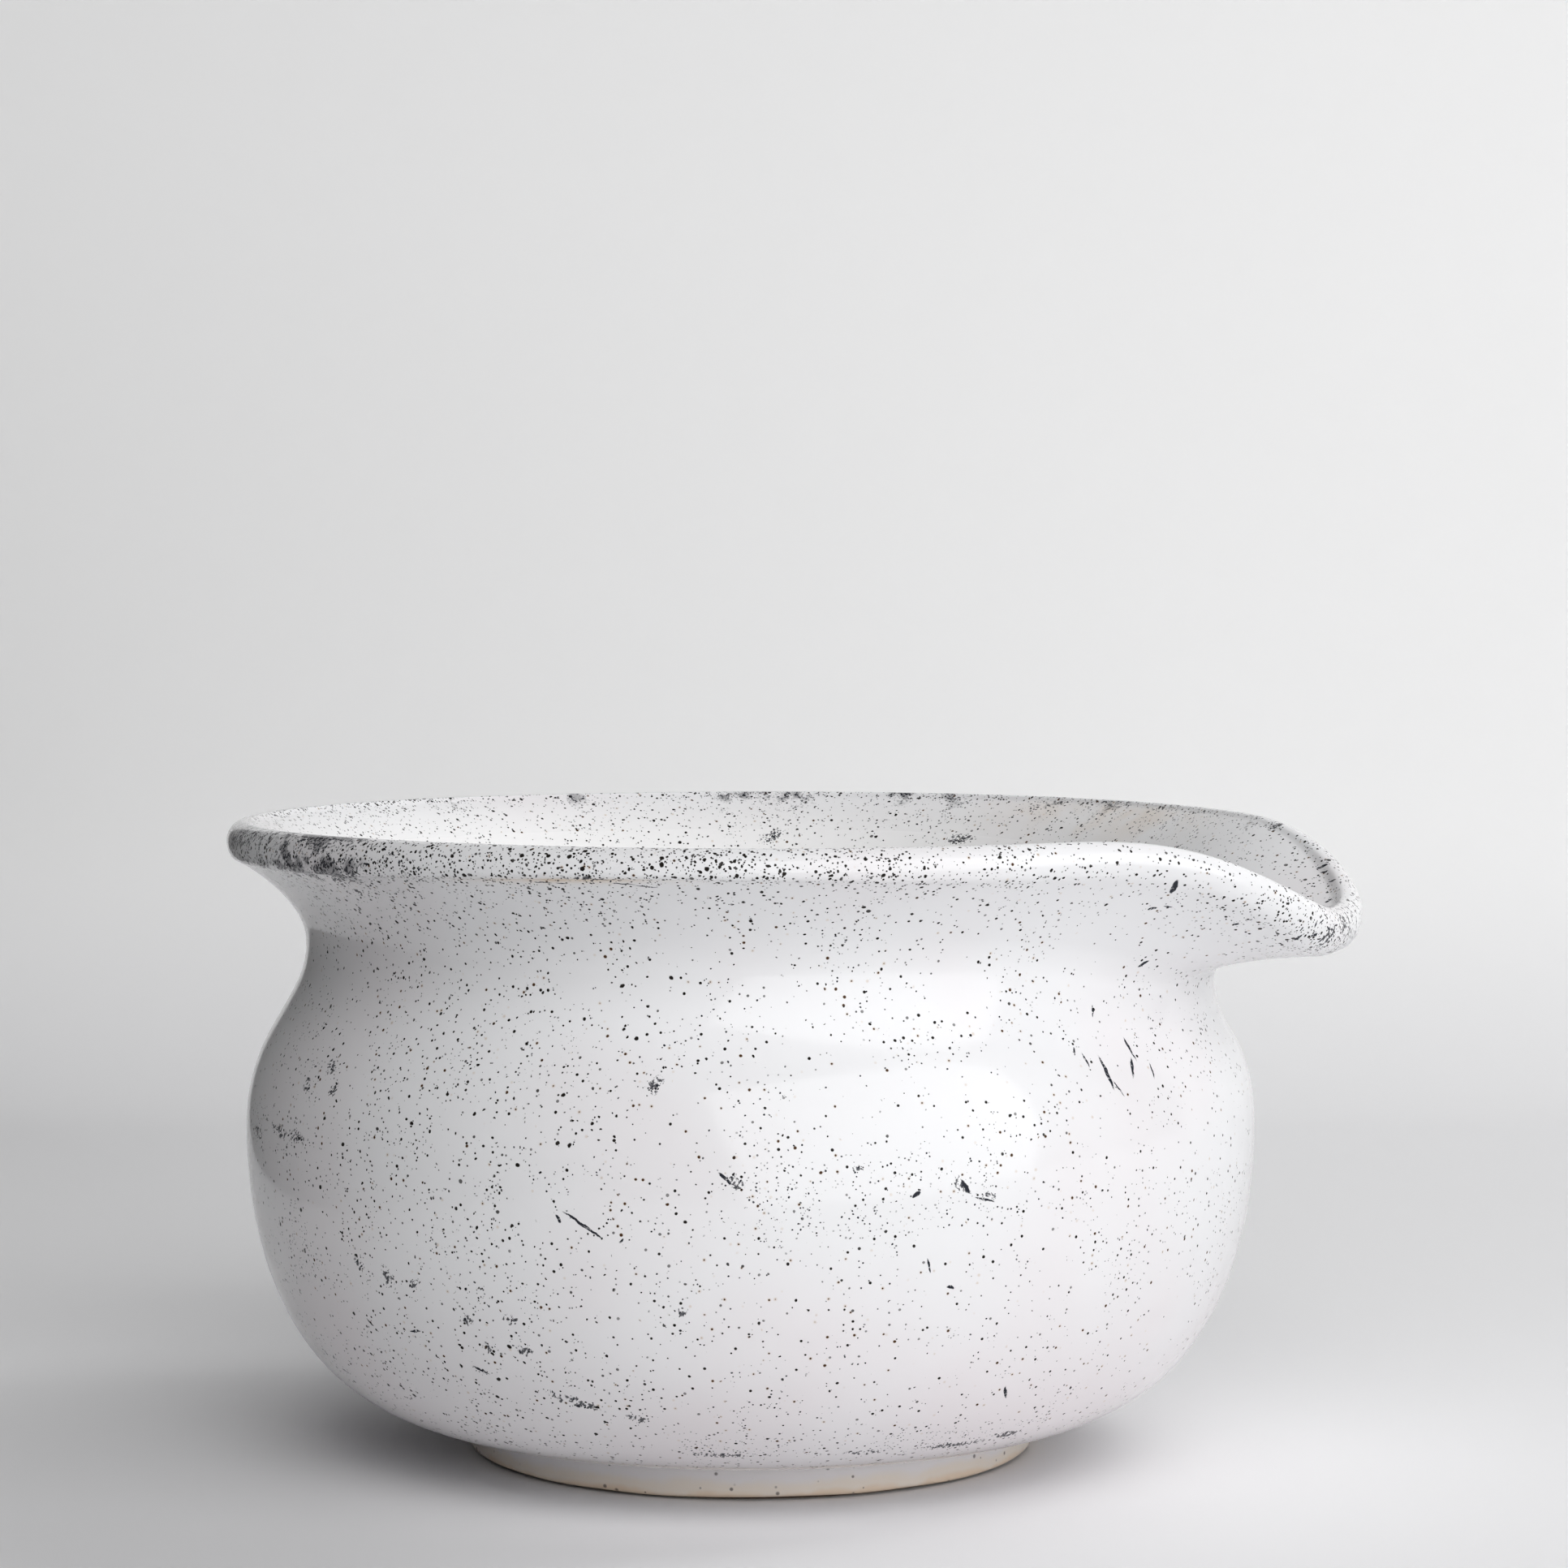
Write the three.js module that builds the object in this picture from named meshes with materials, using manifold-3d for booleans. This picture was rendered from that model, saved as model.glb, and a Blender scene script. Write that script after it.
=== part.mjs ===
// A spouted tea bowl: a thrown stoneware bowl with a pulled pouring spout, standing on a turned
// foot ring, under coats of white speckled glaze. Millimetres, +Z up, the spout towards +X.
import * as THREE from 'three';
import { mergeVertices } from 'three/addons/utils/BufferGeometryUtils.js';
import Module from 'manifold-3d';

const wasm = await Module();
wasm.setup();

// Foot
const FOOT_RADIUS = 34.7; // outside of the glazed foot
const FOOT_HEIGHT = 4.3; // table to the underside of the bowl
const FOOT_WIDTH = 6.0; // breadth of the ring that stands on the table
const FOOT_EDGE = 1.0; // rounding of the ring's two lower edges
const FOOT_BARE = 1.2; // unglazed strip above the table

// Wall, measured on the glazed outside of the round part
const BELLY_RADIUS = 62.1;
const BELLY_HEIGHT = 40.3;
const RIM_HEIGHT = 77.7;
const NECK_SETBACK = 7.4; // belly in to the neck
const FLARE_REACH = 9.5; // neck out to the rim
const FLARE_HEIGHT = 14.9; // neck up to the rim
const WALL = 4.4; // thickness with both coats of glaze
const NECK_RADIUS = BELLY_RADIUS - NECK_SETBACK;
const NECK_HEIGHT = RIM_HEIGHT - FLARE_HEIGHT;
const RIM_RADIUS = NECK_RADIUS + FLARE_REACH;

// How far each curve of the wall runs straight on before it bends
const UNDERSIDE_RUN = 19.9;
const BELLY_DROP = 18.5;
const BELLY_RISE = 12.0;
const NECK_DROP = 7.5;
const NECK_RISE = 5.75;

// Rounded bead round the rim
const BEAD_HEIGHT = 4.6; // crest down to the bead's lower edge
const BEAD_SHOULDER = 2.4; // crest down to the bead's widest line
const BEAD_CROWN = 2.2; // widest line in to the crest
const BEAD_UNDERCUT = 1.2; // widest line in to the lower edge

// Spout, as the rim's movement at the middle of the lip
const SPOUT_REACH = 11.2;
const SPOUT_DROP = 9.0;
const SPOUT_NECK_REACH = 2.4;
const SPOUT_NECK_DROP = 3.8;
const SPOUT_NECK_RISE = 1.5; // stands in for NECK_RISE under the lip
const SPOUT_LIP_SWELL = 1.0; // extra depth of the bead at the lip
const SPOUT_LIP_UNDERCUT = 2.0; // extra undercut of the bead at the lip
const SPOUT_SEAM_DROP = 7.8; // neck down to the level seam between spout and bowl

// How the spout's pull fades with azimuth: full over a level stretch, gone at the side seams
const SPOUT_SPREAD = THREE.MathUtils.degToRad(42);
const REACH_LEVEL = THREE.MathUtils.degToRad(4.4);
const DROP_LEVEL = THREE.MathUtils.degToRad(1.8);
const REACH_SHARPNESS = 1.48;
const DROP_SHARPNESS = 2.7;

// Coats and clearances
const GLAZE = 0.5;
const COAT_GAP = 0.35; // clay to glaze
const JOINT_GAP = 0.3; // piece to piece, and coat to coat

// Fineness of the surfaces
const COLUMNS = 48; // round the bowl
const COLUMN_CROWDING = 0.4; // draws the columns towards the spout
const WALL_STEPS = 6; // along each of the underside and the belly
const FLARE_STEPS = 5; // along the flare from neck to rim
const BEAD_STEPS = 2; // along each of the bead's three curves
const EDGE_STEPS = 1; // round each lower edge of the foot

// A cubic curve has this much of a corner's leg as its handle to follow a quarter of an ellipse.
const ARC_HANDLE = 0.5523;

const CLAY = { color: 0xc4ae92, roughness: 0.85, metalness: 0 };
const WHITE_GLAZE = { color: 0xebe9ea, roughness: 0.14, metalness: 0 };
const SPECKLED_GLAZE = { color: 0x8f8f92, roughness: 0.25, metalness: 0 };
const WARM_GLAZE = { color: 0xe2d8c8, roughness: 0.2, metalness: 0 };

const point = (radius, height) => new THREE.Vector2(radius, height);

// Share of the spout's pull at an azimuth: 1 over the level stretch, fading to 0 at SPOUT_SPREAD.
function pull(azimuth, level, sharpness) {
  const past = (Math.abs(azimuth) - level) / (SPOUT_SPREAD - level);
  const share = THREE.MathUtils.clamp(past, 0, 1);
  return ((1 + Math.cos(Math.PI * share)) / 2) ** sharpness;
}

const reachShare = (azimuth) => pull(azimuth, REACH_LEVEL, REACH_SHARPNESS);
const dropShare = (azimuth) => pull(azimuth, DROP_LEVEL, DROP_SHARPNESS);

// Points along a cubic curve after its first point.
function curvePoints(start, leave, arrive, end, steps) {
  return new THREE.CubicBezierCurve(start, leave, arrive, end).getPoints(steps).slice(1);
}

// A run of points moved to its left, which is into the clay, by a depth.
function shifted(points, depth) {
  return points.map((here, index) => {
    const before = points[Math.max(index - 1, 0)];
    const after = points[Math.min(index + 1, points.length - 1)];
    const along = after.clone().sub(before).normalize();
    return point(here.x - along.y * depth, here.y + along.x * depth);
  });
}

// Outside of the wall at an azimuth, from the foot up to the lower edge of the bead.
function outsideWall(azimuth) {
  const reach = reachShare(azimuth);
  const drop = dropShare(azimuth);
  const foot = point(FOOT_RADIUS, FOOT_HEIGHT);
  const belly = point(BELLY_RADIUS, BELLY_HEIGHT);
  const neck = point(NECK_RADIUS + SPOUT_NECK_REACH * reach, NECK_HEIGHT - SPOUT_NECK_DROP * drop);
  const neckRise = THREE.MathUtils.lerp(NECK_RISE, SPOUT_NECK_RISE, drop);
  const edge = point(
    RIM_RADIUS - BEAD_UNDERCUT + (SPOUT_REACH - SPOUT_LIP_UNDERCUT) * reach,
    RIM_HEIGHT - BEAD_HEIGHT - (SPOUT_DROP + SPOUT_LIP_SWELL) * drop,
  );
  const underside = point(foot.x + UNDERSIDE_RUN, foot.y);
  const lowBelly = point(belly.x, belly.y - BELLY_DROP);
  const highBelly = point(belly.x, belly.y + BELLY_RISE);
  const lowNeck = point(neck.x, neck.y - NECK_DROP);
  const highNeck = point(neck.x, neck.y + neckRise);
  return [
    foot,
    ...curvePoints(foot, underside, lowBelly, belly, WALL_STEPS),
    ...curvePoints(belly, highBelly, lowNeck, neck, WALL_STEPS),
    ...curvePoints(neck, highNeck, edge, edge, FLARE_STEPS),
  ];
}

// The bead from its lower edge over the crest, ending just before the inside of the wall.
function beadCurve(azimuth, edge, inner) {
  const reach = SPOUT_REACH * reachShare(azimuth);
  const drop = SPOUT_DROP * dropShare(azimuth);
  const widest = point(RIM_RADIUS + reach, RIM_HEIGHT - BEAD_SHOULDER - drop);
  const crest = point(RIM_RADIUS - BEAD_CROWN + reach, RIM_HEIGHT - drop);
  const handle = (from, to) => THREE.MathUtils.lerp(from, to, ARC_HANDLE);
  const lower = point(handle(edge.x, widest.x), edge.y);
  const side = point(widest.x, handle(widest.y, edge.y));
  const shoulder = point(widest.x, handle(widest.y, crest.y));
  const outerCrown = point(handle(crest.x, widest.x), crest.y);
  const innerCrown = point(handle(crest.x, inner.x), crest.y);
  return [
    ...curvePoints(edge, lower, side, widest, BEAD_STEPS),
    ...curvePoints(widest, shoulder, outerCrown, crest, BEAD_STEPS),
    ...curvePoints(crest, innerCrown, inner, inner, BEAD_STEPS).slice(0, -1),
  ];
}

// Number of points of the outline up to the bead's lower edge, and up to the inside of the wall.
const EDGE_INDEX = 2 * WALL_STEPS + FLARE_STEPS;
const INNER_INDEX = EDGE_INDEX + 3 * BEAD_STEPS;

// The glazed surface at an azimuth: up the outside, over the bead, down the inside to the middle.
function glazedOutline(azimuth) {
  const outside = outsideWall(azimuth);
  const inside = shifted(outside, WALL).reverse();
  const bead = beadCurve(azimuth, outside.at(-1), inside[0]);
  const middle = point(0, inside.at(-1).y);
  return [...outside, ...bead, ...inside, middle];
}

// The clay under the coats: the outline set back, with a level base from the axis to the foot.
function claySection(azimuth) {
  const skin = shifted(glazedOutline(azimuth), GLAZE + COAT_GAP);
  return [point(0, skin[0].y), ...skin];
}

// Draws one end of a run of points back along its own line.
function drawnBack(end, next, distance) {
  return end.clone().lerp(next, distance / end.distanceTo(next));
}

// A coat of glaze over part of the outline, as a closed section. Ends that meet another coat
// keep half a joint gap each.
function coatSection(azimuth, first, last) {
  const outline = glazedOutline(azimuth);
  const lastIndex = outline.length - 1;
  const run = (line) => {
    const part = line.slice(first, last + 1);
    if (first > 0) part[0] = drawnBack(part[0], part[1], JOINT_GAP / 2);
    if (last < lastIndex) part.splice(-1, 1, drawnBack(part.at(-1), part.at(-2), JOINT_GAP / 2));
    return part;
  };
  const face = run(outline);
  const back = run(shifted(outline, GLAZE)).reverse();
  return [...face, ...back, face[0]];
}

// The foot ring, with rounded lower edges, up to the base of the bowl.
function footSection() {
  const outer = FOOT_RADIUS - GLAZE - COAT_GAP;
  const inner = FOOT_RADIUS - FOOT_WIDTH;
  const top = FOOT_HEIGHT + GLAZE + COAT_GAP - JOINT_GAP;
  const outerEdge = new THREE.Path().absarc(
    outer - FOOT_EDGE, FOOT_EDGE, FOOT_EDGE, -Math.PI / 2, 0, false,
  );
  const innerEdge = new THREE.Path().absarc(
    inner + FOOT_EDGE, FOOT_EDGE, FOOT_EDGE, -Math.PI, -Math.PI / 2, false,
  );
  const section = [
    ...outerEdge.getPoints(EDGE_STEPS),
    point(outer, top),
    point(inner, top),
    ...innerEdge.getPoints(EDGE_STEPS),
  ];
  return [...section, section[0]];
}

// The band of glaze on the side of the foot ring.
function footCoatSection() {
  const outer = FOOT_RADIUS;
  const inner = FOOT_RADIUS - GLAZE;
  const top = FOOT_HEIGHT - JOINT_GAP;
  return [
    point(outer, FOOT_BARE),
    point(outer, top),
    point(inner, top),
    point(inner, FOOT_BARE),
    point(outer, FOOT_BARE),
  ];
}

// Leaves only shared points, and drops the faces that shrink to nothing on the axis.
function welded(geometry) {
  geometry.deleteAttribute('normal');
  geometry.deleteAttribute('uv');
  const merged = mergeVertices(geometry);
  const index = merged.index.array;
  const kept = [];
  for (let face = 0; face < index.length; face += 3) {
    const [a, b, c] = index.slice(face, face + 3);
    if (a !== b && b !== c && c !== a) kept.push(a, b, c);
  }
  merged.setIndex(kept);
  return merged;
}

// Azimuth of a column, from the back round to the back, closer together near the spout.
function columnAzimuth(column) {
  const even = ((2 * column) / COLUMNS - 1) * Math.PI;
  return even - COLUMN_CROWDING * Math.sin(even);
}

// Turns a section about the axis, with the section of each column in its place.
function turned(sectionAt) {
  const back = sectionAt(Math.PI);
  const geometry = new THREE.LatheGeometry(back, COLUMNS);
  const position = geometry.getAttribute('position');
  for (let column = 0; column <= COLUMNS; column += 1) {
    const azimuth = columnAzimuth(column);
    sectionAt(azimuth).forEach(({ x: radius, y: height }, row) => {
      const vertex = column * back.length + row;
      position.setXYZ(vertex, radius * Math.cos(azimuth), radius * Math.sin(azimuth), height);
    });
  }
  return welded(geometry);
}

// A wedge from the axis outwards that holds the spout, grown on its three seams by a gap.
function spoutWedge(gap) {
  const apex = -gap / Math.sin(SPOUT_SPREAD);
  const far = 2 * (RIM_RADIUS + SPOUT_REACH);
  const half = (far - apex) * Math.tan(SPOUT_SPREAD);
  const plan = new THREE.Shape([point(apex, 0), point(far, -half), point(far, half)]);
  const bottom = NECK_HEIGHT - SPOUT_SEAM_DROP - gap;
  const wedge = new THREE.ExtrudeGeometry(plan, { depth: 2 * RIM_HEIGHT, bevelEnabled: false });
  return welded(wedge.translate(0, 0, bottom));
}

function toSolid(geometry) {
  const mesh = new wasm.Mesh({
    numProp: 3,
    vertProperties: new Float32Array(geometry.getAttribute('position').array),
    triVerts: new Uint32Array(geometry.index.array),
  });
  return new wasm.Manifold(mesh);
}

function toGeometry(solid) {
  const mesh = solid.getMesh();
  const geometry = new THREE.BufferGeometry();
  geometry.setAttribute('position', new THREE.BufferAttribute(mesh.vertProperties, 3));
  geometry.setIndex(new THREE.BufferAttribute(mesh.triVerts, 1));
  geometry.computeVertexNormals();
  return geometry;
}

const bowl = new THREE.Group();
bowl.position.x = -SPOUT_REACH / 2; // the origin is under the middle of the whole length

function addPiece(name, geometry, finish) {
  const piece = new THREE.Mesh(geometry, new THREE.MeshStandardMaterial(finish));
  piece.name = name;
  bowl.add(piece);
}

// Clay pieces
const clay = toSolid(turned(claySection));
const bowlClay = clay.subtract(toSolid(spoutWedge(JOINT_GAP)));
const spoutClay = clay.intersect(toSolid(spoutWedge(0)));
addPiece('stoneware_bowl', toGeometry(bowlClay), CLAY);
addPiece('pouring_spout', toGeometry(spoutClay), CLAY);
addPiece('foot_ring', turned(footSection), CLAY);

// Coats of glaze
const outlineLast = glazedOutline(Math.PI).length - 1;
addPiece('outside_glaze', turned((azimuth) => coatSection(azimuth, 0, EDGE_INDEX)), WHITE_GLAZE);
addPiece('rim_glaze', turned((azimuth) => coatSection(azimuth, EDGE_INDEX, INNER_INDEX)), SPECKLED_GLAZE);
addPiece('inside_glaze', turned((azimuth) => coatSection(azimuth, INNER_INDEX, outlineLast)), WHITE_GLAZE);
addPiece('foot_glaze', turned(footCoatSection), WARM_GLAZE);

export default bowl;
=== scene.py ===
"""Dresses the spouted tea bowl: coats of glaze, turned foot, finishes, studio light and camera.

Metres, +Z up, the spout towards +X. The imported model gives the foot, the rim, the spout's reach and
every place, and the classes hold the sizes between them.
"""

import logging
import math
from dataclasses import dataclass, field
from enum import Enum

import bmesh
import bpy
import numpy as np
from mathutils import Euler, Matrix, Vector


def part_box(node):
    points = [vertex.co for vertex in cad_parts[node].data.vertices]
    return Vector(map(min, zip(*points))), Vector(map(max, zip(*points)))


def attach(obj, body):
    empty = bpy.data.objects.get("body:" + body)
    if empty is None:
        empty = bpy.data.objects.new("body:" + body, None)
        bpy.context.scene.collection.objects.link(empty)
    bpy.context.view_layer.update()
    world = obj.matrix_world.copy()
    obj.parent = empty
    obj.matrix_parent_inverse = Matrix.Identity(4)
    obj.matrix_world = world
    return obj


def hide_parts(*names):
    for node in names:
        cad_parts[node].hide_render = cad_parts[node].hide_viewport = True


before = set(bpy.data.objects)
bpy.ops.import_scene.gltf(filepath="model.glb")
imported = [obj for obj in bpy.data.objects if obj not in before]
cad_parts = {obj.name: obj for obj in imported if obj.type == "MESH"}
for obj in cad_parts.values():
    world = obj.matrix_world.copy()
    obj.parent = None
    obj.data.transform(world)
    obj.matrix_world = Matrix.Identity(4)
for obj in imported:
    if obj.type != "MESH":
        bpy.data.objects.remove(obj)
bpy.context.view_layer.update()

LOG = logging.getLogger("tea_bowl")
MM = 0.001
BODY = "root"
ARC_HANDLE = 0.5523  # handle of a cubic curve that follows a quarter of an ellipse
WELD = 0.001 * MM  # corners closer than this become one
SLIVER = 0.0001 * MM  # edges shorter than this are dissolved
SIDESTEP = 0.004  # angle between the places beside a mark that give its slope, in radians
MARK_DEPTH = 1.0  # least depth of a mark into the wall, in millimetres
WALL_BEND = 45.0  # twice the radius of the wall's bend under a mark, in millimetres
FINE = 3.0  # finer layers of a noise
FINEST = 4.0
GREY = 0.5  # middle of a noise
STATION = "station"
REST_NORMAL = "rest_normal"


class Mark(Enum):
    """Kinds of dark mark on the glaze."""

    STREAK = "streak"
    RUB = "rub"
    PEPPER = "pepper"


class Attribute(Enum):
    """Values that the coats carry for their finish."""

    WASH = "wash"
    SMEAR = "smear"
    EDGE = "edge"
    HOLLOW = "hollow"


Point = tuple[float, float]
Profile = tuple[Point, ...]
Rows = list[tuple[int, float]]


def bezier(
    start: np.ndarray, leave: np.ndarray, arrive: np.ndarray, end: np.ndarray, steps: int
) -> np.ndarray:
    """Follows one cubic curve at every azimuth.

    Args:
        start, leave, arrive, end: the curve's points, one row for each azimuth.
        steps: points wanted after the first.

    Returns:
        Points after the first, by azimuth, step and coordinate.
    """
    share = np.linspace(0, 1, steps + 1)[1:, None]
    rest = 1 - share
    return (
        rest**3 * start[:, None]
        + 3 * rest**2 * share * leave[:, None]
        + 3 * rest * share**2 * arrive[:, None]
        + share**3 * end[:, None]
    )


def offset(line: np.ndarray, depth: float) -> np.ndarray:
    """Moves a line of points to its left, which is into the clay.

    Args:
        line: points by azimuth, station and coordinate.
        depth: how far, in metres.

    Returns:
        The moved points.
    """
    along = np.gradient(line, axis=1)
    along /= np.linalg.norm(along, axis=2, keepdims=True)
    return line + depth * np.stack([-along[..., 1], along[..., 0]], axis=2)


def spot(radius: np.ndarray, height: np.ndarray) -> np.ndarray:
    """Pairs radii and heights as points."""
    return np.stack(np.broadcast_arrays(radius, height), axis=-1)


def strength_at(place: np.ndarray, profile: Profile) -> np.ndarray:
    """Reads a profile of places and strengths at other places."""
    return np.interp(place, *zip(*profile))


@dataclass(frozen=True)
class Wave:
    """One wave round the bowl: how often it goes round, where it starts and how strong it is."""

    cycles: int
    phase: float
    strength: float


def swell(turn: np.ndarray | float, waves: tuple[Wave, ...]) -> np.ndarray | float:
    """Adds up waves at angles in radians, as a share of the most that they could reach."""
    total = sum(wave.strength * np.sin(wave.cycles * turn + wave.phase) for wave in waves)
    return total / sum(wave.strength for wave in waves)


@dataclass(frozen=True)
class Pull:
    """How a share of the spout's pull fades with azimuth."""

    spread: float
    level: float
    sharpness: float

    def share(self, azimuth: np.ndarray) -> np.ndarray:
        """Gives 1 over the level stretch of the lip, fading to 0 at the spread."""
        past = (np.abs(azimuth) - self.level) / (self.spread - self.level)
        return ((1 + np.cos(np.pi * np.clip(past, 0, 1))) / 2) ** self.sharpness


@dataclass(frozen=True)
class Lobe:
    """A stretch round the bowl where something is strong, by angles in degrees."""

    azimuth: float
    spread: float
    strength: float

    def at(self, azimuth: np.ndarray) -> np.ndarray:
        """Gives the lobe's strength at azimuths in radians."""
        away = (np.degrees(azimuth) - self.azimuth + 180) % 360 - 180
        return self.strength * np.exp(-((away / self.spread) ** 2))


@dataclass
class BowlSection:
    """The glazed outline of the bowl at every azimuth, as radius and height.

    The foot, the rim and the spout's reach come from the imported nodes.
    """

    foot_radius: float
    foot_height: float
    rim_radius: float
    rim_height: float
    spout_reach: float
    belly_radius: float = 62.1 * MM
    belly_height: float = 40.3 * MM
    neck_setback: float = 7.4 * MM
    flare_height: float = 14.9 * MM
    wall: float = 4.4 * MM
    underside_run: float = 19.9 * MM
    belly_drop: float = 18.5 * MM
    belly_rise: float = 12.0 * MM
    neck_drop: float = 7.5 * MM
    neck_rise: float = 5.75 * MM
    bead_height: float = 4.6 * MM
    bead_shoulder: float = 2.4 * MM
    bead_crown: float = 2.2 * MM
    bead_undercut: float = 1.2 * MM
    bead_run_in: float = 0.7 * MM
    bead_lift: Lobe = Lobe(-78, 32, 1.15 * MM)
    bead_lift_slope: float = 0.35
    spout_drop: float = 9.0 * MM
    spout_neck_reach: float = 2.6 * MM
    spout_neck_drop: float = 3.3 * MM
    spout_neck_rise: float = 2.4 * MM
    spout_lining_rise: float = 1.5 * MM
    spout_lip_swell: float = 1.3 * MM
    spout_lip_undercut: float = 2.0 * MM
    reach: Pull = Pull(math.radians(42), math.radians(4.4), 1.48)
    drop: Pull = Pull(math.radians(42), math.radians(1.8), 2.7)
    neck_pull: Pull = Pull(math.radians(55), math.radians(10), 1.5)
    merge: Pull = Pull(math.radians(76), math.radians(14), 1.0)
    tip: Pull = Pull(math.radians(26), math.radians(9), 1.0)
    wall_steps: int = 34
    flare_steps: int = 26
    bead_steps: int = 12
    floor_steps: int = 24
    crease_passes: int = 4
    crease_reach: int = 5
    spout_crease_passes: int = 60
    spout_crease_reach: int = 20
    neck_passes: int = 14
    neck_reach: int = 13

    @property
    def edge_station(self) -> int:
        """Station of the bead's lower edge."""
        return 2 * self.wall_steps + self.flare_steps

    @property
    def inner_station(self) -> int:
        """Station where the bead meets the inside of the wall."""
        return self.edge_station + 3 * self.bead_steps

    @property
    def last_station(self) -> int:
        """Station of the middle of the floor."""
        return self.inner_station + self.edge_station + self.floor_steps

    def outside(
        self, azimuth: np.ndarray, lift: np.ndarray, sunk: np.ndarray, spout_rise: float
    ) -> np.ndarray:
        """Runs up the outside, from the foot to the bead's lower edge.

        Args:
            azimuth: where round the bowl.
            lift: how far the bead's lower edge is raised there.
            sunk: share of the neck's drop under the spout.
            spout_rise: how straight the neck rises under the spout.

        Returns:
            Points by azimuth, step and coordinate.
        """
        reach = self.reach.share(azimuth)
        drop = self.drop.share(azimuth)
        level = np.zeros_like(azimuth)
        neck_radius = self.belly_radius - self.neck_setback
        neck_height = self.rim_height - self.flare_height
        foot = spot(level + self.foot_radius, self.foot_height)
        belly = spot(level + self.belly_radius, self.belly_height)
        neck = spot(neck_radius + self.spout_neck_reach * reach, neck_height - self.spout_neck_drop * sunk)
        rise = self.neck_rise + (spout_rise - self.neck_rise) * drop
        edge = spot(
            self.rim_radius - self.bead_undercut + (self.spout_reach - self.spout_lip_undercut) * reach,
            self.rim_height - self.bead_height - (self.spout_drop + self.spout_lip_swell) * drop,
        )
        edge = edge + spot(self.bead_lift_slope * lift, lift)
        under = foot + spot(level + self.underside_run, 0)
        low_belly = belly - spot(level, self.belly_drop)
        high_belly = belly + spot(level, self.belly_rise)
        low_neck = neck - spot(level, self.neck_drop)
        high_neck = neck + spot(level, rise)
        runs = [
            foot[:, None],
            bezier(foot, under, low_belly, belly, self.wall_steps),
            bezier(belly, high_belly, low_neck, neck, self.wall_steps),
            bezier(neck, high_neck, edge, edge, self.flare_steps),
        ]
        return np.concatenate(runs, axis=1)

    def bead(self, azimuth: np.ndarray, edge: np.ndarray, inside: np.ndarray) -> np.ndarray:
        """Runs over the rounded bead, from its lower edge to just before the inside of the wall.

        Args:
            azimuth: where round the bowl.
            edge: the bead's lower edge.
            inside: the inside of the wall, from the rim down.

        Returns:
            Points by azimuth, step and coordinate.
        """
        reach = self.spout_reach * self.reach.share(azimuth)
        drop = self.spout_drop * self.drop.share(azimuth)
        inner = inside[:, 0]
        widest = spot(self.rim_radius + reach, self.rim_height - self.bead_shoulder - drop)
        crest = spot(self.rim_radius - self.bead_crown + reach, self.rim_height - drop)
        run_in = inner - inside[:, 2]
        run_in *= self.bead_run_in / np.linalg.norm(run_in, axis=1, keepdims=True)
        lower = edge + spot(ARC_HANDLE * (widest - edge)[:, 0], 0)
        side = widest + spot(0, ARC_HANDLE * (edge - widest)[:, 1])
        shoulder = widest + spot(0, ARC_HANDLE * (crest - widest)[:, 1])
        outer_crown = crest + spot(ARC_HANDLE * (widest - crest)[:, 0], 0)
        inner_crown = crest + spot(ARC_HANDLE * (inner - crest)[:, 0], 0)
        runs = [
            bezier(edge, lower, side, widest, self.bead_steps),
            bezier(widest, shoulder, outer_crown, crest, self.bead_steps),
            bezier(crest, inner_crown, inner + run_in, inner, self.bead_steps)[:, :-1],
        ]
        return np.concatenate(runs, axis=1)

    def outline(self, azimuth: np.ndarray) -> np.ndarray:
        """Runs up the outside, over the bead, down the inside and to the middle of the floor.

        Args:
            azimuth: where round the bowl.

        Returns:
            Points by azimuth, station and coordinate.
        """
        lift, sunk = self.bead_lift.at(azimuth), self.neck_pull.share(azimuth)
        outside = self.outside(azimuth, lift, sunk, self.spout_neck_rise)
        level, fade = np.zeros_like(azimuth), self.drop.share(azimuth)
        lining = self.outside(azimuth, level, fade, self.spout_lining_rise)
        inside = np.flip(offset(lining, self.wall), axis=1)
        bead = self.bead(azimuth, outside[:, -1], inside)
        corner = inside[:, -1]
        middle = spot(level, corner[:, 1])
        floor = np.linspace(corner, middle, self.floor_steps + 1, axis=1)[:, 1:]
        line = np.concatenate([outside, bead, inside, floor], axis=1)
        edge, inner = self.edge_station, self.inner_station
        for crease in (edge, inner):
            first, last = crease - self.crease_reach, crease + self.crease_reach
            line = self.softened(line, first, last, self.crease_passes)
        below, widest = edge - self.spout_crease_reach, edge + self.bead_steps
        merged = self.softened(line, below, widest, self.spout_crease_passes)
        share = (self.merge.share(azimuth) * (1 - self.tip.share(azimuth)))[:, None, None]
        line = line + share * (merged - line)
        neck = 2 * self.wall_steps
        rounded = self.softened(line, neck - self.neck_reach, neck + self.neck_reach, self.neck_passes)
        return line + fade[:, None, None] * (rounded - line)

    def softened(self, line: np.ndarray, first: int, last: int, passes: int) -> np.ndarray:
        """Rounds a stretch of the outline between two stations that stay, as glaze pools in a crease.

        Args:
            line: the outline by azimuth, station and coordinate.
            first, last: the stations that stay.
            passes: how often neighbours are averaged.

        Returns:
            The rounded outline.
        """
        line = line.copy()
        near = slice(first, last + 1)
        for _ in range(passes):
            part = line[:, near].copy()
            part[:, 1:-1] = (part[:, :-2] + 2 * part[:, 1:-1] + part[:, 2:]) / 4
            line[:, near] = part
        return line


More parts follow.
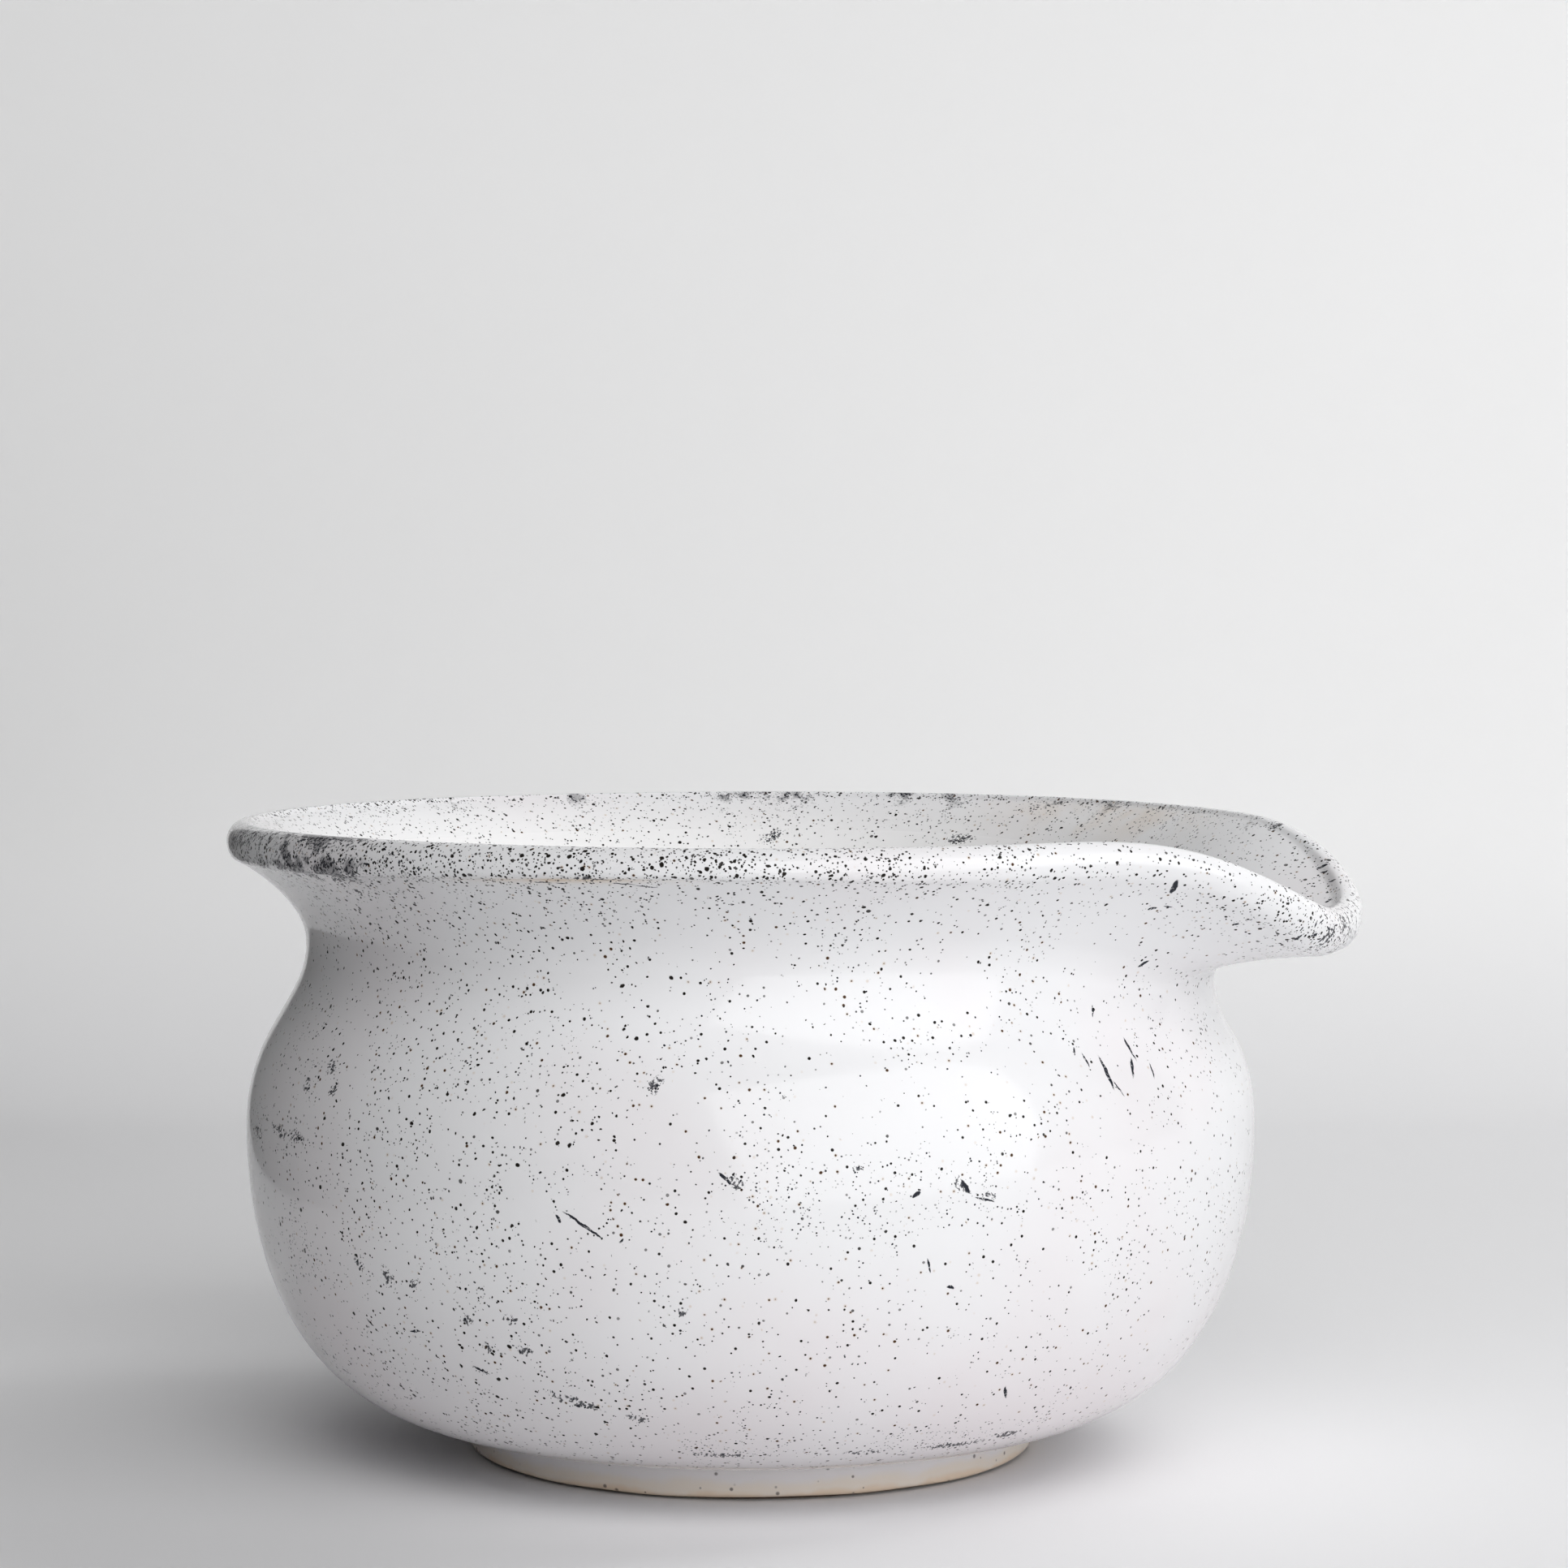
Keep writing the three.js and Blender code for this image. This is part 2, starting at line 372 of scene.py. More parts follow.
@dataclass(frozen=True)
class HandThrown:
    """Small unevenness of a bowl thrown by hand, all of it inwards of the true form."""

    inset: float = 0.05 * MM
    sway: float = 0.16 * MM
    sway_waves: tuple[Wave, ...] = (Wave(2, 0.7, 1.0), Wave(3, -1.1, 0.6), Wave(5, 2.0, 0.3))
    fullness: float = 0.5
    ring_depth: float = 0.03 * MM
    ring_pitch: float = 6.5 * MM
    ring_wander: float = 1.3
    ring_waves: tuple[Wave, ...] = (Wave(1, 0.0, 0.8), Wave(2, 0.0, 0.5))
    rim_dip: float = 0.14 * MM
    dip_waves: tuple[Wave, ...] = (Wave(4, -0.5, 1.0), Wave(2, 1.3, 1.0))
    dip_steepness: int = 4

    def applied(self, azimuth: np.ndarray, line: np.ndarray, rim_height: float) -> np.ndarray:
        """Gives the outline its sway, throwing rings and uneven rim.

        Args:
            azimuth: where round the bowl.
            line: the outline by azimuth, station and coordinate.
            rim_height: height of the rim's crest.

        Returns:
            The uneven outline.
        """
        turn = azimuth[:, None]
        radius, height = line[..., 0], line[..., 1]
        lift = np.clip(height / rim_height, 0, 1)
        body = np.sin(np.pi * lift) ** self.fullness
        sway = swell(turn, self.sway_waves)
        wander = self.ring_wander * swell(turn, self.ring_waves)
        rings = np.sin(2 * np.pi * height / self.ring_pitch + wander)
        inward = self.inset + body * (self.sway * (1 + sway) / 2 + self.ring_depth * (1 + rings) / 2)
        dip = self.rim_dip * lift**self.dip_steepness * (1 + swell(turn, self.dip_waves)) / 2
        hub = np.clip(radius / self.ring_pitch, 0, 1)
        return spot(radius - inward * hub, height - dip)


@dataclass
class Wheel:
    """Turns sections about the bowl's axis."""

    axis: Vector
    columns: int = 256

    def azimuths(self) -> np.ndarray:
        """Azimuth of each column, from the spout and back to it, between minus and plus half a turn."""
        turn = np.arange(self.columns) * 2 * np.pi / self.columns
        return (turn + np.pi) % (2 * np.pi) - np.pi

    def turn(self, section: np.ndarray, closed: bool) -> bmesh.types.BMesh:
        """Spins a section into a grid whose vertices remember their station.

        Args:
            section: radius and height of each station.
            closed: whether the section ends where it starts.

        Returns:
            The spun mesh, with its doubles still apart.
        """
        mesh = bmesh.new()
        station = mesh.verts.layers.int.new(STATION)
        chain = []
        for index, (radius, height) in enumerate(section):
            vert = mesh.verts.new(self.axis + Vector((radius, 0, height)))
            vert[station] = index
            chain.append(vert)
        after = chain[1:] + chain[:1] if closed else chain[1:]
        edges = [mesh.edges.new(pair) for pair in zip(chain, after)]
        bmesh.ops.spin(
            mesh, geom=chain + edges, cent=self.axis, axis=(0, 0, 1), angle=2 * math.pi,
            steps=self.columns, use_merge=True,
        )
        return mesh

    def column(self, vert: bmesh.types.BMVert) -> int:
        """Column of a spun vertex."""
        azimuth = math.atan2(vert.co.y - self.axis.y, vert.co.x - self.axis.x)
        return round(azimuth / (2 * math.pi) * self.columns) % self.columns

    def points(self, azimuth: np.ndarray, line: np.ndarray) -> np.ndarray:
        """Places outline points in space.

        Args:
            azimuth: one for each row of the line.
            line: radius and height by azimuth and station.

        Returns:
            Points by azimuth, station and coordinate.
        """
        radius, height = line[..., 0], line[..., 1]
        turn = azimuth[:, None]
        east = self.axis.x + radius * np.cos(turn)
        north = self.axis.y + radius * np.sin(turn)
        return np.stack([east, north, height], axis=2)


def finished_object(name: str, mesh: bmesh.types.BMesh, finish: bpy.types.Material) -> bpy.types.Object:
    """Closes a mesh, makes it a smooth object and dresses it.

    Args:
        name: the piece's name.
        mesh: its bmesh, which is freed.
        finish: its material.

    Returns:
        The object, in the scene.
    """
    bmesh.ops.remove_doubles(mesh, verts=mesh.verts, dist=WELD)
    bmesh.ops.dissolve_degenerate(mesh, edges=mesh.edges, dist=SLIVER)
    bmesh.ops.recalc_face_normals(mesh, faces=mesh.faces)
    data = bpy.data.meshes.new(name)
    mesh.to_mesh(data)
    mesh.free()
    data.shade_smooth()
    data.materials.append(finish)
    piece = bpy.data.objects.new(name, data)
    bpy.context.scene.collection.objects.link(piece)
    return piece


def fitted(piece: bpy.types.Object, node: str) -> bpy.types.Object:
    """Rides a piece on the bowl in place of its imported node, and logs it.

    Args:
        piece: the piece.
        node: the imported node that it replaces.

    Returns:
        The piece.
    """
    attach(piece, BODY)
    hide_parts(node)
    LOG.info("%s: %d faces, in place of %s", piece.name, len(piece.data.polygons), node)
    return piece


@dataclass
class GlazedBowl:
    """The coats of glaze on the outside, the rim and the inside, as one unbroken surface.

    Places along the outline are 0 at the bead's lower edge and 1 where it meets the inside.
    """

    section: BowlSection
    wheel: Wheel
    unevenness: HandThrown = HandThrown()
    glaze: float = 0.5 * MM
    back_stride: int = 3
    wash_lobes: tuple[Lobe, ...] = (
        Lobe(-148, 26, 0.8), Lobe(-118, 16, 0.85), Lobe(-99, 13, 1.0), Lobe(-82, 13, 0.9), Lobe(-62, 12, 1.0),
        Lobe(-42, 7, 0.2), Lobe(-4, 13, 0.7), Lobe(38, 20, 0.5), Lobe(78, 30, 0.7), Lobe(128, 26, 0.5),
        Lobe(170, 24, 0.7),
    )
    smear_lobes: tuple[Lobe, ...] = (
        Lobe(-160, 16, 0.4), Lobe(-142, 9, 0.6), Lobe(-126, 8, 0.9), Lobe(-117, 6, 1.0), Lobe(-106, 4, 0.35),
        Lobe(-86, 4, 0.35), Lobe(-3, 5, 0.3), Lobe(13, 4, 0.4), Lobe(26.5, 3, 0.75), Lobe(45, 6, 0.4),
        Lobe(58.5, 4, 0.95), Lobe(69, 3, 0.95), Lobe(82.5, 3, 1.0), Lobe(90.5, 3, 1.0), Lobe(105, 5, 1.0),
        Lobe(113, 3, 0.95), Lobe(133.6, 3, 0.9), Lobe(152, 4, 0.9), Lobe(172, 8, 0.5),
    )
    wash_floor: float = 0.16
    wash_profile: Profile = ((-0.8, 0), (-0.2, 0.25), (0.04, 1), (0.86, 1), (1.05, 0.35), (1.7, 0))
    smear_profile: Profile = ((-0.45, 0), (0.02, 1), (1.0, 1), (1.25, 0.45), (2.4, 0))
    strewn: tuple[tuple[Lobe, Profile], ...] = (
        (Lobe(-108, 24, 0.17), ((-2.6, 0.3), (-2.2, 1.0), (-0.9, 1.0), (-0.3, 0.5), (0.0, 0.0))),
        (Lobe(-50, 34, 0.32), ((-2.61, 1.0), (-2.45, 0.8), (-2.25, 0.0))),
    )
    warm_crease: Lobe = Lobe(-89, 9, 1.0)
    crease_width: float = 0.1
    warm_inside: Lobe = Lobe(56, 16, 0.5)
    inside_place: float = 1.15
    inside_width: float = 0.22
    # Painted shade: towards the spout the inside keeps the darker outside white, not the paler inside colour.
    spout_shade_lobe: Lobe = Lobe(8, 40, 0.9)
    points: np.ndarray = field(init=False)
    normals: np.ndarray = field(init=False)
    values: dict[Attribute, np.ndarray] = field(init=False)

    def __post_init__(self) -> None:
        """Works out the surface, its normals and what its finish needs."""
        azimuth = self.wheel.azimuths()
        line = self.section.outline(azimuth)
        line = self.unevenness.applied(azimuth, line, self.section.rim_height)
        self.points = self.wheel.points(azimuth, line)
        self.normals = self.surface_normals()
        self.values = self.finish_values(azimuth)

    def surface_normals(self) -> np.ndarray:
        """Gives outward normals of the whole surface, so that coats meet without a seam.

        Returns:
            Normals by azimuth, station and coordinate.
        """
        along = np.gradient(self.points, axis=1)
        wrapped = np.concatenate([self.points[-1:], self.points, self.points[:1]])
        around = (wrapped[2:] - wrapped[:-2]) / 2
        normal = np.cross(around, along)
        normal[:, -1] = (0, 0, 1)
        return normal / np.linalg.norm(normal, axis=2, keepdims=True)

    def finish_values(self, azimuth: np.ndarray) -> dict[Attribute, np.ndarray]:
        """Gives the wash, the smears, the warm edges and the inside, at every azimuth and station.

        Args:
            azimuth: where round the bowl.

        Returns:
            Each value by azimuth and station.
        """
        first, last = self.section.edge_station, self.section.inner_station
        place = (np.arange(self.section.last_station + 1) - first) / (last - first)
        wash = np.clip(self.wash_floor + sum(lobe.at(azimuth) for lobe in self.wash_lobes), 0, 1)
        wash = wash[:, None] * strength_at(place, self.wash_profile)
        strewn = sum(lobe.at(azimuth)[:, None] * strength_at(place, profile) for lobe, profile in self.strewn)
        smear = np.clip(sum(lobe.at(azimuth) for lobe in self.smear_lobes), 0, 1)
        crease = self.warm_crease.at(azimuth)[:, None] * np.exp(-((place / self.crease_width) ** 2))
        inward = (place - self.inside_place) / self.inside_width
        inside = self.warm_inside.at(azimuth)[:, None] * np.exp(-(inward**2))
        return {
            Attribute.WASH: np.clip(wash + strewn, 0, 1),
            Attribute.SMEAR: smear[:, None] * strength_at(place, self.smear_profile),
            Attribute.EDGE: crease + inside,
            # Where the inside is painted paler as painted light, less so near the spout as painted shade; it
            # also makes the inside rougher.
            Attribute.HOLLOW: (1 - self.spout_shade_lobe.at(azimuth))[:, None] * np.clip(place - 1, 0, 1),
        }

    def coat(self, name: str, rows: Rows, closed: bool, finish: bpy.types.Material) -> bpy.types.Object:
        """Makes one closed coat.

        Args:
            name: the piece's name.
            rows: station and depth under the surface of each row of the coat.
            closed: whether its section is a closed loop.
            finish: its material.

        Returns:
            The coat's object.
        """
        stations = [station for station, _ in rows]
        depths = np.array([depth for _, depth in rows])
        points = self.points[:, stations] - self.normals[:, stations] * depths[:, None]
        start = points[0] - np.array(self.wheel.axis)
        mesh = self.wheel.turn(start[:, (0, 2)], closed)
        layer = mesh.verts.layers.int[STATION]
        normal_layer = mesh.verts.layers.float_vector.new(REST_NORMAL)
        value_layers = {kind: mesh.verts.layers.float.new(kind.value) for kind in Attribute}
        for vert in mesh.verts:
            column, row = self.wheel.column(vert), vert[layer]
            vert.co = points[column, row]
            facing = 1 if depths[row] == 0 else -1
            vert[normal_layer] = self.normals[column, stations[row]] * facing
            for kind, value_layer in value_layers.items():
                vert[value_layer] = self.values[kind][column, stations[row]]
        mesh.verts.layers.int.remove(layer)
        piece = finished_object(name, mesh, finish)
        self.set_normals(piece.data)
        return piece

    def set_normals(self, data: bpy.types.Mesh) -> None:
        """Shades a coat with the normals of the whole surface.

        Args:
            data: the coat's mesh.
        """
        stored = data.attributes[REST_NORMAL]
        normals = np.zeros(len(data.vertices) * 3)
        stored.data.foreach_get("vector", normals)
        data.normals_split_custom_set_from_vertices(normals.reshape(-1, 3))
        data.attributes.remove(data.attributes[REST_NORMAL])

    def run(self, first: int, last: int, depth: float, stride: int = 1) -> Rows:
        """Lists rows from one station to another at a depth, keeping both ends.

        Args:
            first, last: the stations.
            depth: how far under the surface.
            stride: every how many stations.

        Returns:
            Station and depth of each row.
        """
        stations = list(range(first, last + 1, stride))
        if stations[-1] != last:
            stations.append(last)
        return [(station, depth) for station in stations]

    def build(self, finishes: dict[str, bpy.types.Material]) -> list[bpy.types.Object]:
        """Makes the three coats and puts them in place of their nodes.

        Args:
            finishes: materials by slot.

        Returns:
            The coats.
        """
        edge, inner = self.section.edge_station, self.section.inner_station
        pieces = []
        for name, node, slot, start, end, closed in (
            ("outside_glaze_coat", "outside_glaze", "white_glaze", 0, edge, True),
            ("rim_glaze_bead", "rim_glaze", "speckled_rim_glaze", edge, inner, True),
            ("inside_glaze_coat", "inside_glaze", "white_glaze", inner, self.section.last_station, False),
        ):
            front = self.run(start, end, 0.0)
            back = self.run(start, end, self.glaze, self.back_stride)[::-1]
            rows = front + back if closed else back + front
            pieces.append(fitted(self.coat(name, rows, closed, finishes[slot]), node))
        return pieces


@dataclass
class TurnedFoot:
    """The turned foot ring with its recessed base, and the band of glaze on its side."""

    wheel: Wheel
    glaze_radius: float
    ring_radius: float
    ring_top: float
    ring_width: float = 5.2 * MM
    edge_round: float = 0.9 * MM
    round_steps: int = 6
    recess_height: float = 4.1 * MM
    recess_round: float = 1.2 * MM
    groove_depth: float = 0.1 * MM
    groove_pitch: float = 1.7 * MM
    base_steps: int = 90
    band_top: float = 4.28 * MM
    band_bottom: float = 0.34 * MM
    band_wave: float = 0.1 * MM
    band_depth: float = 0.6 * MM
    band_steps: int = 16
    back_steps: int = 4
    band_waves: tuple[Wave, ...] = (Wave(5, 0.5, 1.0), Wave(11, 1.9, 0.6), Wave(17, 0.0, 0.4))

    def arc(self, centre: Point, radius: float, start: float, end: float) -> list[Point]:
        """Gives points on an arc of a section, with angles in degrees."""
        angles = np.radians(np.linspace(start, end, self.round_steps + 1))
        return [(centre[0] + radius * math.cos(a), centre[1] + radius * math.sin(a)) for a in angles]

    def ring_section(self) -> list[Point]:
        """Runs from the middle of the base out, round the ring and back over its top.

        Returns:
            Radius and height of each station.
        """
        inner = self.ring_radius - self.ring_width
        reach = inner - self.recess_round
        base = [(radius, self.recess_height) for radius in np.linspace(0, reach, self.base_steps)[:-1]]
        cove = self.arc((reach, self.recess_height - self.recess_round), self.recess_round, 90, 0)
        heel = self.arc((inner + self.edge_round, self.edge_round), self.edge_round, 180, 270)
        toe = self.arc((self.ring_radius - self.edge_round, self.edge_round), self.edge_round, 270, 360)
        top = [(radius, self.ring_top) for radius in (self.ring_radius, inner, 0)]
        return base + cove + heel + toe + top

    def ring(self, finish: bpy.types.Material) -> bpy.types.Object:
        """Makes the ring and base, with a spiral of turning grooves in the recess.

        Args:
            finish: its material.

        Returns:
            The ring.
        """
        section = self.ring_section()
        mesh = self.wheel.turn(np.array(section), False)
        layer = mesh.verts.layers.int[STATION]
        last_base = self.base_steps - 1
        for vert in mesh.verts:
            if 0 < vert[layer] < last_base:
                radius = section[vert[layer]][0]
                azimuth = self.wheel.column(vert) / self.wheel.columns
                fade = min(1.0, radius / self.groove_pitch)
                wave = math.cos(2 * math.pi * (radius / self.groove_pitch - azimuth))
                vert.co.z += fade * self.groove_depth * wave
        mesh.verts.layers.int.remove(layer)
        return finished_object("turned_foot_ring", mesh, finish)

    def band(self, finish: bpy.types.Material) -> bpy.types.Object:
        """Makes the band of glaze, with an uneven lower edge that thins out over the clay.

        Args:
            finish: its material.

        Returns:
            The band.
        """
        outer, inner = self.glaze_radius, self.glaze_radius - self.band_depth
        lip = self.arc((inner, self.band_bottom + self.band_depth), self.band_depth, 270, 360)
        side = [(outer, z) for z in np.linspace(lip[-1][1], self.band_top, self.band_steps)[1:]]
        back = [(inner, z) for z in np.linspace(self.band_top, lip[0][1], self.back_steps)[:-1]]
        mesh = self.wheel.turn(np.array(lip + side + back), True)
        for vert in mesh.verts:
            turn = 2 * math.pi * self.wheel.column(vert) / self.wheel.columns
            drop = (self.band_top - vert.co.z) / (self.band_top - self.band_bottom)
            vert.co.z += self.band_wave * drop**2 * swell(turn, self.band_waves)
        mesh.verts.layers.int.remove(mesh.verts.layers.int[STATION])
        return finished_object("foot_glaze_band", mesh, finish)

    def build(self, finishes: dict[str, bpy.types.Material]) -> list[bpy.types.Object]:
        """Makes the ring and the band and puts them in place of their nodes.

        Args:
            finishes: materials by slot.

        Returns:
            Both pieces.
        """
        ring = fitted(self.ring(finishes["stoneware"]), "foot_ring")
        band = fitted(self.band(finishes["warm_foot_glaze"]), "foot_glaze")
        return [ring, band]


Socket = bpy.types.NodeSocket
Value = Socket | float
Colour = tuple[float, float, float]


@dataclass(frozen=True)
class Ease:
    """A smooth change: the inputs between which it happens, and what it goes from and to."""

    low: float
    high: float
    start: float = 0.0
    end: float = 1.0


class Graph:
    """Builds one material's nodes with short calls."""

    def __init__(self, name: str) -> None:
        """Starts a material with a shader and its output.

        Args:
            name: the material's name.
        """
        self.material = bpy.data.materials.new(name)
        self.material.use_nodes = True
        self.tree = self.material.node_tree
        self.tree.nodes.clear()
        self.shader = self.tree.nodes.new("ShaderNodeBsdfPrincipled")
        output = self.tree.nodes.new("ShaderNodeOutputMaterial")
        self.tree.links.new(self.shader.outputs["BSDF"], output.inputs["Surface"])
        self.coords = self.tree.nodes.new("ShaderNodeTexCoord").outputs["Object"]

    def put(self, value: object, socket: Socket) -> None:
        """Links a socket or sets a value.

        Args:
            value: a socket or a plain value.
            socket: where it goes.
        """
        if isinstance(value, bpy.types.NodeSocket):
            self.tree.links.new(value, socket)
        else:
            socket.default_value = value

    def math(self, operation: str, first: Value, second: Value = 0.0) -> Socket:
        """Adds a sum, product or the like.

        Args:
            operation: which one.
            first, second: what goes into it.

        Returns:
            Its result, which isn't clamped.
        """
        node = self.tree.nodes.new("ShaderNodeMath")
        node.operation = operation
        self.put(first, node.inputs[0])
        self.put(second, node.inputs[1])
        return node.outputs[0]

    def times(self, first: Value, second: Value) -> Socket:
        """Multiplies two values."""
        return self.math("MULTIPLY", first, second)

    def ball(self, vector: Socket) -> Socket:
        """Gives 1 at the middle of the coordinates, falling to 0 at a distance of 1.

        Args:
            vector: the coordinates.

        Returns:
            The falling value.
        """
        node = self.tree.nodes.new("ShaderNodeTexGradient")
        node.gradient_type = "SPHERICAL"
        self.put(vector, node.inputs["Vector"])
        return node.outputs["Fac"]

    def moved(self, shift: Socket, amount: float) -> Socket:
        """Moves the piece's coordinates unevenly.

        Args:
            shift: a colour whose offset from grey gives the direction.
            amount: how far, in metres.

        Returns:
            The moved coordinates.
        """
        centred = self.tree.nodes.new("ShaderNodeVectorMath")
        centred.operation = "SUBTRACT"
        self.put(shift, centred.inputs[0])
        centred.inputs[1].default_value = (GREY, GREY, GREY)
        node = self.tree.nodes.new("ShaderNodeVectorMath")
        node.operation = "MULTIPLY_ADD"
        self.put(centred.outputs[0], node.inputs[0])
        node.inputs[1].default_value = (amount, amount, amount)
        self.put(self.coords, node.inputs[2])
        return node.outputs[0]

    def ramp(self, value: Value, low: Value, high: Value, start: Value = 0.0, end: Value = 1.0) -> Socket:
        """Eases a value from one range to another.

        Args:
            value: what is eased.
            low, high: the range that it comes from.
            start, end: the range that it goes to.

        Returns:
            The eased value.
        """
        node = self.tree.nodes.new("ShaderNodeMapRange")
        node.interpolation_type = "SMOOTHSTEP"
        for number, entry in enumerate((value, low, high, start, end)):
            self.put(entry, node.inputs[number])
        return node.outputs[0]

    def eased(self, value: Value, ease: Ease) -> Socket:
        """Eases a value in a way that has a name."""
        return self.ramp(value, ease.low, ease.high, ease.start, ease.end)

    def noise(self, size: float, detail: float = 2.0, vector: Socket | None = None) -> bpy.types.Node:
        """Adds noise.

        Args:
            size: size of its features, in metres.
            detail: how many finer layers it has.
            vector: its coordinates, if not the piece's own.

        Returns:
            The noise's node.
        """
        node = self.tree.nodes.new("ShaderNodeTexNoise")
        self.put(vector or self.coords, node.inputs["Vector"])
        node.inputs["Scale"].default_value = 1 / size
        node.inputs["Detail"].default_value = detail
        return node

    def cells(self, size: float, vector: Socket | None = None) -> tuple[Socket, list[Socket]]:
        """Scatters points.

        Args:
            size: their spacing, in metres.
            vector: their coordinates, if not the piece's own.

        Returns:
            Distance to the nearest point, in spacings, and its random numbers.
        """
        node = self.tree.nodes.new("ShaderNodeTexVoronoi")
        self.put(vector or self.coords, node.inputs["Vector"])
        node.inputs["Scale"].default_value = 1 / size
        split = self.tree.nodes.new("ShaderNodeSeparateColor")
        self.put(node.outputs["Color"], split.inputs[0])
        return node.outputs["Distance"], list(split.outputs)

    def specks(
        self, vector: Socket, spacing: float, density: Value, radii: Point, core: float = 0.72
    ) -> tuple[Socket, list[Socket]]:
        """Scatters round specks.

        Args:
            vector: the coordinates that they lie in.
            spacing: spacing of the points that specks may sit on.
            density: share of the points that have one.
            radii: smallest and largest radius, as shares of the spacing.
            core: share of the radius that is fully dark.

        Returns:
            Cover of the specks, with the random numbers of each.
        """
        away, chance = self.cells(spacing, vector)
        radius = self.ramp(chance[0], 0.0, 1.0, *radii)
        round_speck = self.ramp(away, radius, self.times(radius, core))
        kept = self.math("LESS_THAN", chance[1], density)
        return self.times(round_speck, kept), chance

    def mapped(self, place: Vector, turn: Euler, scale: Vector, vector: Socket) -> Socket:
        """Gives coordinates about a place.

        Args:
            place: the new middle.
            turn: how the new axes are turned.
            scale: the new units along them.
            vector: the old coordinates.

        Returns:
            The new coordinates.
        """
        node = self.tree.nodes.new("ShaderNodeMapping")
        node.vector_type = "TEXTURE"
        self.put(vector, node.inputs["Vector"])
        node.inputs["Location"].default_value = place
        node.inputs["Rotation"].default_value = turn
        node.inputs["Scale"].default_value = scale
        return node.outputs[0]

    def mix(self, share: Value, first: Socket | Colour, second: Socket | Colour) -> Socket:
        """Mixes two colours.

        Args:
            share: share of the second.
            first, second: the colours.

        Returns:
            The mixed colour.
        """
        node = self.tree.nodes.new("ShaderNodeMix")
        node.data_type = "RGBA"
        self.put(share, node.inputs[0])
        for entry, socket in ((first, node.inputs[6]), (second, node.inputs[7])):
            self.put(entry if isinstance(entry, bpy.types.NodeSocket) else (*entry, 1.0), socket)
        return node.outputs[2]

    def lightness(self, colour: Socket) -> Socket:
        """Gives a colour's lightness.

        Args:
            colour: the colour.

        Returns:
            Its lightness, from 0 to 1.
        """
        node = self.tree.nodes.new("ShaderNodeRGBToBW")
        self.put(colour, node.inputs[0])
        return node.outputs[0]

    def attribute(self, kind: Attribute) -> Socket:
        """Reads a value that the piece carries.

        Args:
            kind: which value.

        Returns:
            The value.
        """
        node = self.tree.nodes.new("ShaderNodeAttribute")
        node.attribute_name = kind.value
        return node.outputs["Fac"]

    def height(self) -> Socket:
        """Gives the height above the table.

        Returns:
            The height, in metres.
        """
        node = self.tree.nodes.new("ShaderNodeSeparateXYZ")
        self.put(self.coords, node.inputs[0])
        return node.outputs["Z"]

    def bump(self, height: Socket, strength: float, distance: float) -> None:
        """Roughens the shader's normals.

        Args:
            height: what rises and falls.
            strength: how strongly it shows.
            distance: how high a rise of 1 is, in metres.
        """
        node = self.tree.nodes.new("ShaderNodeBump")
        node.inputs["Strength"].default_value = strength
        node.inputs["Distance"].default_value = distance
        self.put(height, node.inputs["Height"])
        self.put(node.outputs[0], self.shader.inputs["Normal"])


@dataclass(frozen=True)
class Scuff:
    """One dark mark on the wall, by azimuth and lean in degrees and sizes in millimetres."""

    kind: Mark
    azimuth: float
    height: float
    length: float
    breadth: float
    lean: float = 0.0
    inside: bool = False

    def frame_on(self, section: BowlSection, axis: Vector) -> tuple[Vector, Euler, Vector]:
        """Finds the mark's place, turn and half sizes on the bowl, in millimetres.

        Args:
            section: the bowl's outline.
            axis: the foot of the bowl's axis.

        Returns:
            Centre, rotation and half sizes along, across and into the wall.
        """
        angle = math.radians(self.azimuth)
        beside = np.array([angle - SIDESTEP, angle, angle + SIDESTEP])
        crest = section.edge_station + 2 * section.bead_steps
        corner = section.last_station - section.floor_steps
        stations = slice(crest, corner) if self.inside else slice(0, crest)
        before, points, after = Wheel(axis).points(beside, section.outline(beside)[:, stations])
        height = self.height * MM
        rising = points[::-1] if self.inside else points
        place = Vector([np.interp(height, rising[:, 2], rising[:, number]) for number in range(3)])
        station = int(np.abs(points[:, 2] - height).argmin())
        around = Vector(after[station] - before[station])
        along = Vector(points[station + 1] - points[station - 1])
        outward = around.cross(along).normalized()
        upward = (Vector((0, 0, 1)) - outward.z * outward).normalized()
        surface = Matrix((upward.cross(outward), upward, outward)).transposed()
        turn = surface @ Matrix.Rotation(math.radians(self.lean), 3, "Z")
        half = max(self.length, self.breadth) / 2
        depth = MARK_DEPTH + half**2 / WALL_BEND
        return place / MM, turn.to_euler(), Vector((self.length / 2, self.breadth / 2, depth))


